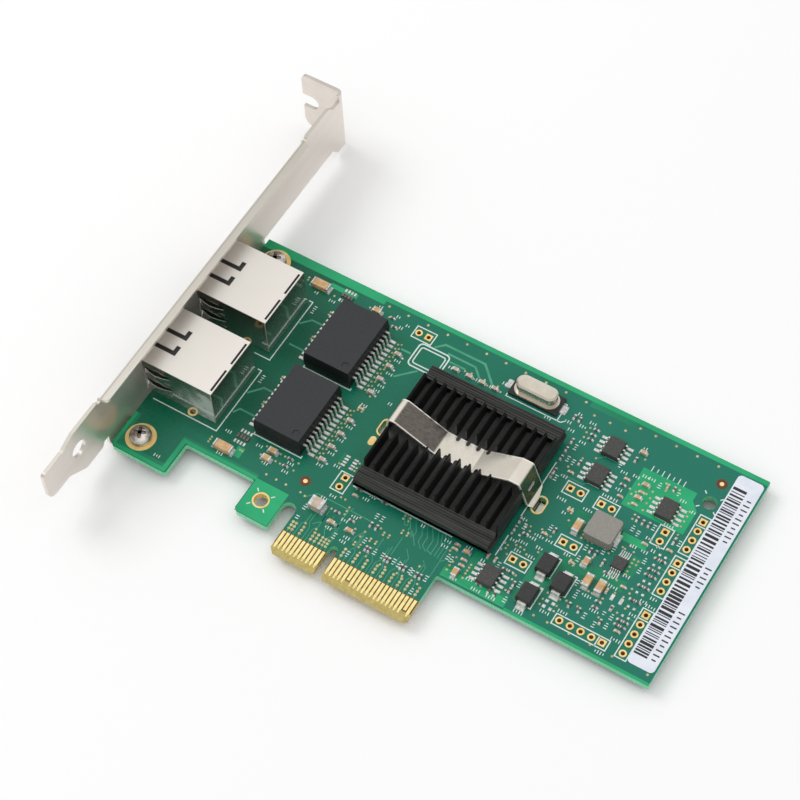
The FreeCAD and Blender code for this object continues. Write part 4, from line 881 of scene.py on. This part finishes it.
# Lead pads of the moulded parts
for y in lead_rows:
    for x in (-16.95, -32.3):
        pad(x, y, 1.7, 0.78, 0.12)
for cx, cy in ((39.75, 58.95), (39.9, 51.2), (56.9, 51.2), (32.0, 18.05)):
    for index in range(4):
        y = cy + (index - 1.5) * LEAD_PITCH
        for way in (-1, 1):
            pad(cx + way * 3.0, y, 1.7, 0.72, 0.1)
MICRO_X, MICRO_Y, MICRO_PITCH = 54.3, 34.7, 0.5
for index in range(5):
    for way in (-1, 1):
        pad(MICRO_X + (index - 2) * MICRO_PITCH, MICRO_Y + way * 2.35, 0.3, 0.95, 0.06, 0.02)
for cx, cy in ((41.3, 26.4), (46.15, 24.05), (41.2, 18.3)):
    for way in (-1, 1):
        pad(cx, cy + way * 2.9, 2.2, 1.7, 0.16, 0.12)
for way in (-1, 1):
    pad(47.7 + way * 3.3, 39.55, 1.5, 3.4, 0.15, 0.1)
    pad(18.5 + way * 6.75, 62.45, 1.8, 2.4, 0.12, 0.1)
# x, y, length, width, and 1 where the length is along X
board_capacitors = (
    (-39.1, 63.6, 3.2, 1.6, 1), (-34.5, 16.2, 3.2, 1.6, 1), (-24.3, 64.1, 2.0, 1.25, 1),
    (-24.5, 20.9, 2.0, 1.25, 1), (-24.8, 18.7, 2.0, 1.25, 1), (-3.9, 12.4, 1.6, 0.8, 1),
    (0.5, 12.6, 1.6, 0.8, 1), (25.25, 15.35, 2.0, 1.25, 0), (42.3, 38.1, 3.2, 1.6, 0),
    (50.5, 27.7, 3.2, 1.6, 0), (53.5, 27.7, 3.2, 1.6, 0), (48.0, 31.6, 2.0, 1.25, 0),
    (-8.7, 14.2, 3.2, 2.6, 1),
)
# Longer than their CAD bodies and drawn over them: length, width, height
LARGE = {(-39.1, 63.6): (4.5, 2.0, 1.42), (-34.5, 16.2): (4.5, 2.0, 1.42)}
HEIGHTS = {3.2: 1.3, 2.0: 1.0, 1.6: 0.8}
SLEEVE = 0.03
TALL_WIDTH = 2.6
for x, y, length, width, along in board_capacitors:
    high = HEIGHTS[length]
    share = 0.7
    if (x, y) in LARGE:
        length, width, high = LARGE[(x, y)]
        share = 0.8
        for way in (-1, 1):
            middle = way * length * (1 + share) / 4
            solder.box(x + middle, y, length * (1 - share) / 2, width, 0.05, high, 0, 0.05)
    body, wide = length * share, width + 2 * SLEEVE
    if width < TALL_WIDTH:
        bodies.box(x, y, body if along else wide, wide if along else body, 0.1, high + SLEEVE,
                   BROWN, 0.05)
    for way in (-1, 1):
        reach = way * (length / 2 + 0.1)
        if along:
            pad(x + reach, y, 0.8, width + 0.1, 0.3, 0.2)
        else:
            pad(x, y + reach, width + 0.1, 0.8, 0.3, 0.2)

for y in (56.6, 52.9, 49.0, 45.0, 36.3, 32.4, 28.6, 24.8):
    medium(-14.05, y - 0.15, PALE)
    pad(-12.7, y - 0.45, 0.5, 0.5)
for x in (-0.7, 2.8, 6.1, 9.4):
    medium(x, 59.45, PALE)
for y in (20.7, 64.1):
    for index in range(4):
        cx = -32.3 + (index - 1.5) * 0.8
        bodies.box(cx, y, 0.62, 1.0, 0, 0.4, DARK)
        pad(cx, y + 1.5, 0.5, 0.9)
        pad(cx, y - 1.45, 0.5, 0.9)
for x in (-9.55, -7.45):
    for index in range(4):
        y = 27.1 + (index - 1.5) * 0.8
        pad(x, y, 1.1, 0.5, 0.08)
for x in (5.8, 6.6, 10.7, 11.5, 14.6, 15.5, 18.4, 19.4):
    small(x, 10.8, True)
# x, y, and 1 where the part is turned along Y
for place in (
    (34.1, 61.5), (34.1, 60), (34.1, 58.7), (30.8, 56.4, 1), (30.8, 53.9, 1), (30.8, 51.5, 1),
    (45.7, 52.2), (34.9, 52.4, 1), (45.1, 59.2, 1), (31.2, 48, 1), (31.2, 46.5, 1),
    (52.4, 46.3, 1), (53.8, 46.2, 1), (55.2, 46.3, 1), (55.8, 56.8, 1), (61.7, 45.6, 1),
    (30.9, 33.4, 1), (30.9, 31.2, 1), (33.5, 31.1), (34, 21.5), (35.4, 21.5), (37.3, 19.4, 1),
    (37.3, 17.6, 1), (31, 15.5), (33.6, 15.2, 1), (35, 15.2, 1), (49.8, 21, 1), (52.2, 20.9, 1),
    (57.3, 20.8, 1), (38.5, 35, 1), (47.4, 34.6, 1), (48.7, 34.6, 1), (51.1, 33.6, 1),
    (57.8, 24.8, 1), (-20.2, 21.3), (-20.2, 19.2), (-20.3, 64.3), (-18.7, 62.4), (3.7, 16.3, 1),
    (5.1, 16.3, 1), (-4.2, 15.2), (-0.4, 15), (-3.1, 22.4), (3.4, 22.4), (54.7, 24.7),
    (54.7, 23.2), (28.3, 62, 1), (29.6, 62, 1), (52.9, 31.6),
):
    small(*place)
for place in (
    (45.8, 61.5), (45.8, 53.9), (50.05, 52.6), (50.05, 49.2), (54.3, 56.7, 1), (34.4, 49.3),
    (46.5, 49.4), (56.6, 41.8), (31.1, 22.4, 1), (29.3, 22.5, 1), (47.3, 31, 1), (55, 27.9, 1),
    (45.4, 30), (57.6, 30.4), (61.4, 20.6), (-3, 20.7), (25.3, 19), (25.5, 17.6), (22.3, 21.5),
    (22.3, 20.3), (37, 33.2), (38.9, 41), (-13.7, 40.1), (61.9, 43),
):
    small(*place, tone=BROWN)
for x, y in ((50.05, 54.6), (50.05, 51), (24.9, 20.9), (45.8, 61.5)):
    medium(x, y)
column = ((41.1, 0), (39.9, 1), (38.3, 0), (37.0, 1), (35.5, 1), (33.9, 0), (32.5, 1), (30.8, 0),
          (28.7, 1), (27.0, 0), (24.5, 0), (23.2, 1), (21.9, 1))
for y, fitted in column:
    for x in (60.6, 61.95):
        if fitted:
            small(x, y)
        else:
            pad(x, y, 0.62, 0.62, 0.09)
for x, y, dx, dy in (
    (56.7, 27.2, 0.8, 1.6), (58.8, 27.2, 0.8, 1.6), (57.8, 24.8, 0.8, 1.6), (45.3, 19.5, 0.8, 0.8),
    (46.8, 19.5, 0.8, 0.8), (45.3, 18.1, 0.8, 0.8), (46.8, 18.1, 0.8, 0.8), (30.7, 27.1, 0.5, 0.6),
    (30.7, 25.3, 0.5, 0.6), (30.8, 29.8, 0.5, 0.6), (32.6, 32.6, 0.6, 0.5), (32.5, 30.2, 0.6, 0.5),
    (61.7, 46.4, 0.6, 0.6), (61.7, 44.8, 0.6, 0.6),
):
    pad(x, y, dx, dy, 0.09)
for index in range(5):
    for way in (-1, 1):
        pad(MICRO_X + (index - 2) * MICRO_PITCH, MICRO_Y + way * 2.75, 0.27, 1.7, 0.09)
solder.make("solder_and_pads", [SOLDER])
bodies.make("small_part_bodies", [RESISTOR, TAN, PALE_TAN])

# ---------------------------------------------------------------- screws

screws = Piece()
RECESS_LONG, RECESS_WIDE, RECESS_LOW, RECESS_HIGH = 1.45, 0.42, 1.5, 2.115
HEAD_PROFILE = ((1.48, -3.7), (1.48, 0.0), (2.5, 0.0), (2.6, 0.12), (2.58, 0.75), (2.4, 1.25),
                (2.0, 1.65), (1.45, 1.93), (0.8, 2.07), (0.15, 2.1))
for x, y in SCREWS:
    screws.lathe(x, y, HEAD_PROFILE, 48)
    for turn in (25, 115):
        angle = math.radians(turn)
        along = Vector((math.cos(angle), math.sin(angle)))
        across = Vector((-along.y, along.x))
        middle = Vector((x, y))
        corners = [middle + along * RECESS_LONG * a + across * RECESS_WIDE * b
                   for a, b in ((-1, -0.6), (-0.6, -1), (0.6, -1), (1, -0.6), (1, 0.6), (0.6, 1),
                                (-0.6, 1), (-1, 0.6))]
        screws.prism([tuple(c) for c in corners], RECESS_LOW, RECESS_HIGH, 1)
screw_piece = screws.make("bracket_screws_detailed", [SCREW, RECESS], True)
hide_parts("bracket_screws")

# ---------------------------------------------------------------- heat sink

sink = Piece()
sink_low, sink_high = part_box("heat_sink")
SINK_LEFT, SINK_RIGHT = sink_low.x / MM, sink_high.x / MM
SINK_FRONT, SINK_REAR = sink_low.y / MM, sink_high.y / MM
SINK_UNDER, FIN_TOP = sink_low.z / MM, sink_high.z / MM
SINK_FLOOR = SINK_UNDER + 1.1
BAR_TOP = 4.6
BAR_DEPTH = 3.8
BAR_INSET = 0.35
GROOVE = 0.16
FINS = 14
SHORT_FINS, SHORT_BY = 5, 1.0
CHANNEL = (36.6, 43.4)
FIN_PITCH = 2.54
FIN_PLACE = 0.75
FIN_THICK = 0.4
FIN_SLOPE = 0.4
RIDGE = 0.62
sink.slab([(SINK_FRONT, SINK_UNDER), (SINK_REAR, SINK_UNDER), (SINK_REAR, SINK_FLOOR),
           (SINK_FRONT, SINK_FLOOR)], SINK_LEFT, SINK_RIGHT)
for start, way in ((SINK_FRONT, 1), (SINK_REAR, -1)):
    profile = [(0.0, SINK_UNDER + 0.01), (0.0, 4.1), (0.5, BAR_TOP)]
    for index in range(5):
        at = 0.55 + index * RIDGE
        profile += [(at + 0.1, BAR_TOP), (at + 0.18, BAR_TOP - GROOVE),
                    (at + 0.34, BAR_TOP - GROOVE), (at + 0.42, BAR_TOP)]
    profile += [(BAR_DEPTH, BAR_TOP), (BAR_DEPTH, SINK_UNDER + 0.01)]
    sink.slab([(start + way * u, v) for u, v in profile][::way], SINK_LEFT + BAR_INSET,
              SINK_RIGHT - BAR_INSET)
for index in range(FINS):
    x = SINK_LEFT + index * FIN_PITCH + FIN_PLACE
    near = CHANNEL[0] - SHORT_BY if index < SHORT_FINS else CHANNEL[0]
    for outer, inner, way in ((SINK_FRONT + BAR_DEPTH, near, 1),
                              (SINK_REAR - BAR_DEPTH, CHANNEL[1], -1)):
        slope = outer + way * FIN_SLOPE
        sink.slab([(outer, SINK_FLOOR), (inner, SINK_FLOOR), (inner, FIN_TOP), (slope, FIN_TOP),
                   (outer, BAR_TOP)][::way], x, x + FIN_THICK)
        # A thin strip of painted highlight along each fin's top.
        sink.box(x + FIN_THICK / 2, (slope + inner) / 2, FIN_THICK - 0.1, abs(inner - slope),
                 FIN_TOP - 0.02, FIN_TOP, 1)
sink_piece = sink.make("heat_sink_finned", [SINK, FIN_TOP_HIGHLIGHT])
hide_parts("heat_sink")

# ---------------------------------------------------------------- label

stripes = Piece()
LABEL_FACE, STRIPE_TOP = 0.1, 0.115
STRIPES_FROM, STRIPES_TO = 18.2, 64.2
y = STRIPES_FROM
while y < STRIPES_TO:
    width = dice.choice((0.24, 0.24, 0.48, 0.48, 0.72))
    stripes.box(68.1, y + width / 2, 3.15, width, LABEL_FACE, STRIPE_TOP)
    y += width + dice.choice((0.24, 0.24, 0.48, 0.48))
for start, count in ((18.6, 11), (38.2, 5), (50.8, 10)):
    for index in range(count):
        size = 1.5 if index % 3 else 1.0
        stripes.box(71.05, start + index * 1.25, size, 0.34, LABEL_FACE, STRIPE_TOP)
stripes.make("label_stripes", [INK])

# ---------------------------------------------------------------- finishes of the CAD nodes

# Nodes that come twice, as port_1_shield and port_2_shield, share one entry without the number.
finishes = {
    "circuit_board": MASK, "edge_contacts_front": GOLD, "edge_contacts_back": GOLD,
    "bracket": BRACKET, "bracket_screws": SCREW, "port_shield": SHIELD, "port_housing": PLASTIC,
    "port_insert": PLASTIC, "port_contacts": GOLD, "transformer_body": MOULD,
    "transformer_leads": LEAD, "controller_chip": CHIP, "thermal_pad": PAD, "heat_sink": SINK,
    "heat_sink_clip": CLIP, "crystal_can": CAN, "crystal_base": PLASTIC, "crystal_tabs": SOLDER,
    "power_inductor": FERRITE, "inductor_terminals": LEAD, "rectifier_bodies": DARK_CHIP,
    "rectifier_terminals": LEAD, "small_chip_bodies": CHIP, "small_chip_leads": LEAD,
    "micro_chip_body": CHIP, "micro_chip_leads": LEAD, "capacitor_bodies": TAN,
    "capacitor_ends": SOLDER, "tall_capacitor_body": PALE_TAN, "tall_capacitor_ends": SOLDER,
    "edge_label": LABEL,
}
edge_rounds = {
    "transformer_body": 0.18, "bracket": 0.08, "port_shield": 0.08, "power_inductor": 0.18,
    "rectifier_bodies": 0.07, "small_chip_bodies": 0.05, "capacitor_bodies": 0.08,
    "capacitor_ends": 0.06, "tall_capacitor_body": 0.12, "tall_capacitor_ends": 0.1,
    "heat_sink_clip": 0.05, "circuit_board": 0.04, "crystal_can": 0.12,
}
for name, node in nodes.items():
    kind = name.replace("_1_", "_").replace("_2_", "_")
    for slot in node.material_slots:
        slot.material = finishes[kind]
    if not node.material_slots:
        node.data.materials.append(finishes[kind])
    if kind in edge_rounds:
        edge = node.modifiers.new("edges", "BEVEL")
        edge.width = edge_rounds[kind] * MM
        edge.segments = 2
        edge.limit_method = "ANGLE"
        edge.angle_limit = math.radians(35)
        edge.harden_normals = False

# ---------------------------------------------------------------- stage, light, camera

low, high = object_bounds()
floor_mesh = bpy.data.meshes.new("floor")
FLOOR_SIZE = 6.0
FLOOR_GAP = 0.05
floor_mesh.from_pydata([(x, y, 0) for x, y in rectangle(0, 0, FLOOR_SIZE, FLOOR_SIZE)], [],
                       [[0, 1, 2, 3]])
floor = bpy.data.objects.new("floor", floor_mesh)
floor.location.z = low.z - FLOOR_GAP * MM
bpy.context.scene.collection.objects.link(floor)
floor_material, floor_tree, floor_shader = new_material("pale_floor")
dress(floor_tree, floor_shader, (1, 1, 1, 1), 0.8, specular=0.0)
floor_mesh.materials.append(floor_material)

world = bpy.data.worlds.new("studio")
bpy.context.scene.world = world
world.use_nodes = True
world_tree = world.node_tree
background = world_tree.nodes["Background"]
direction = world_tree.nodes.new("ShaderNodeTexCoord")
height = separate(world_tree, direction.outputs["Generated"])["Z"]
# The camera sees white; all other rays see a soft sky, dimmer towards the horizon.
HORIZON, ZENITH = 0.42, 0.98
sky = ramp(world_tree, value_range(world_tree, height, 0.0, 1.0, 0.0, 0.9), 0.0, 1.0,
           (HORIZON, HORIZON, HORIZON, 1), (ZENITH, ZENITH, ZENITH, 1))
rays = world_tree.nodes.new("ShaderNodeLightPath")
world_tree.links.new(mix(world_tree, rays.outputs["Is Camera Ray"], sky, (1, 1, 1, 1)),
                     background.inputs["Color"])
background.inputs["Strength"].default_value = 1.0

KEY_PLACE, KEY_TARGET = Vector((-0.9, 0.05, 1.0)), Vector((0, 0.03, 0))
KEY_SIZE, KEY_POWER = 0.6, 4.0
key_data = bpy.data.lights.new("key", "AREA")
key_data.size = KEY_SIZE
key_data.energy = KEY_POWER
key = bpy.data.objects.new("key", key_data)
key.location = KEY_PLACE
key.rotation_mode = "QUATERNION"
key.rotation_quaternion = (KEY_TARGET - KEY_PLACE).to_track_quat("-Z", "Y")
bpy.context.scene.collection.objects.link(key)

AZIMUTH = math.radians(34.5204)
ELEVATION = math.radians(57.9343)
ROLL = math.radians(-3.6656)
CAMERA_PLACE = Vector((145.06, -175.24, 429.55)) * MM
FOCAL_PIXELS = 2277.8
IMAGE_PIXELS = 800
SENSOR = 36.0
back = Vector((math.sin(AZIMUTH) * math.cos(ELEVATION), -math.cos(AZIMUTH) * math.cos(ELEVATION),
               math.sin(ELEVATION)))
level = Vector((math.cos(AZIMUTH), math.sin(AZIMUTH), 0))
rise = back.cross(level)
right = level * math.cos(ROLL) + rise * math.sin(ROLL)
up = back.cross(right)
camera_data = bpy.data.cameras.new("camera")
camera_data.sensor_width = SENSOR
camera_data.lens = FOCAL_PIXELS * SENSOR / IMAGE_PIXELS
camera_data.clip_start = 0.01
camera_data.clip_end = 20
camera = bpy.data.objects.new("camera", camera_data)
turn = Matrix((right, up, back)).transposed().to_4x4()
camera.matrix_world = Matrix.Translation(CAMERA_PLACE) @ turn
bpy.context.scene.collection.objects.link(camera)
bpy.context.scene.camera = camera
bpy.context.scene.view_settings.view_transform = "Standard"
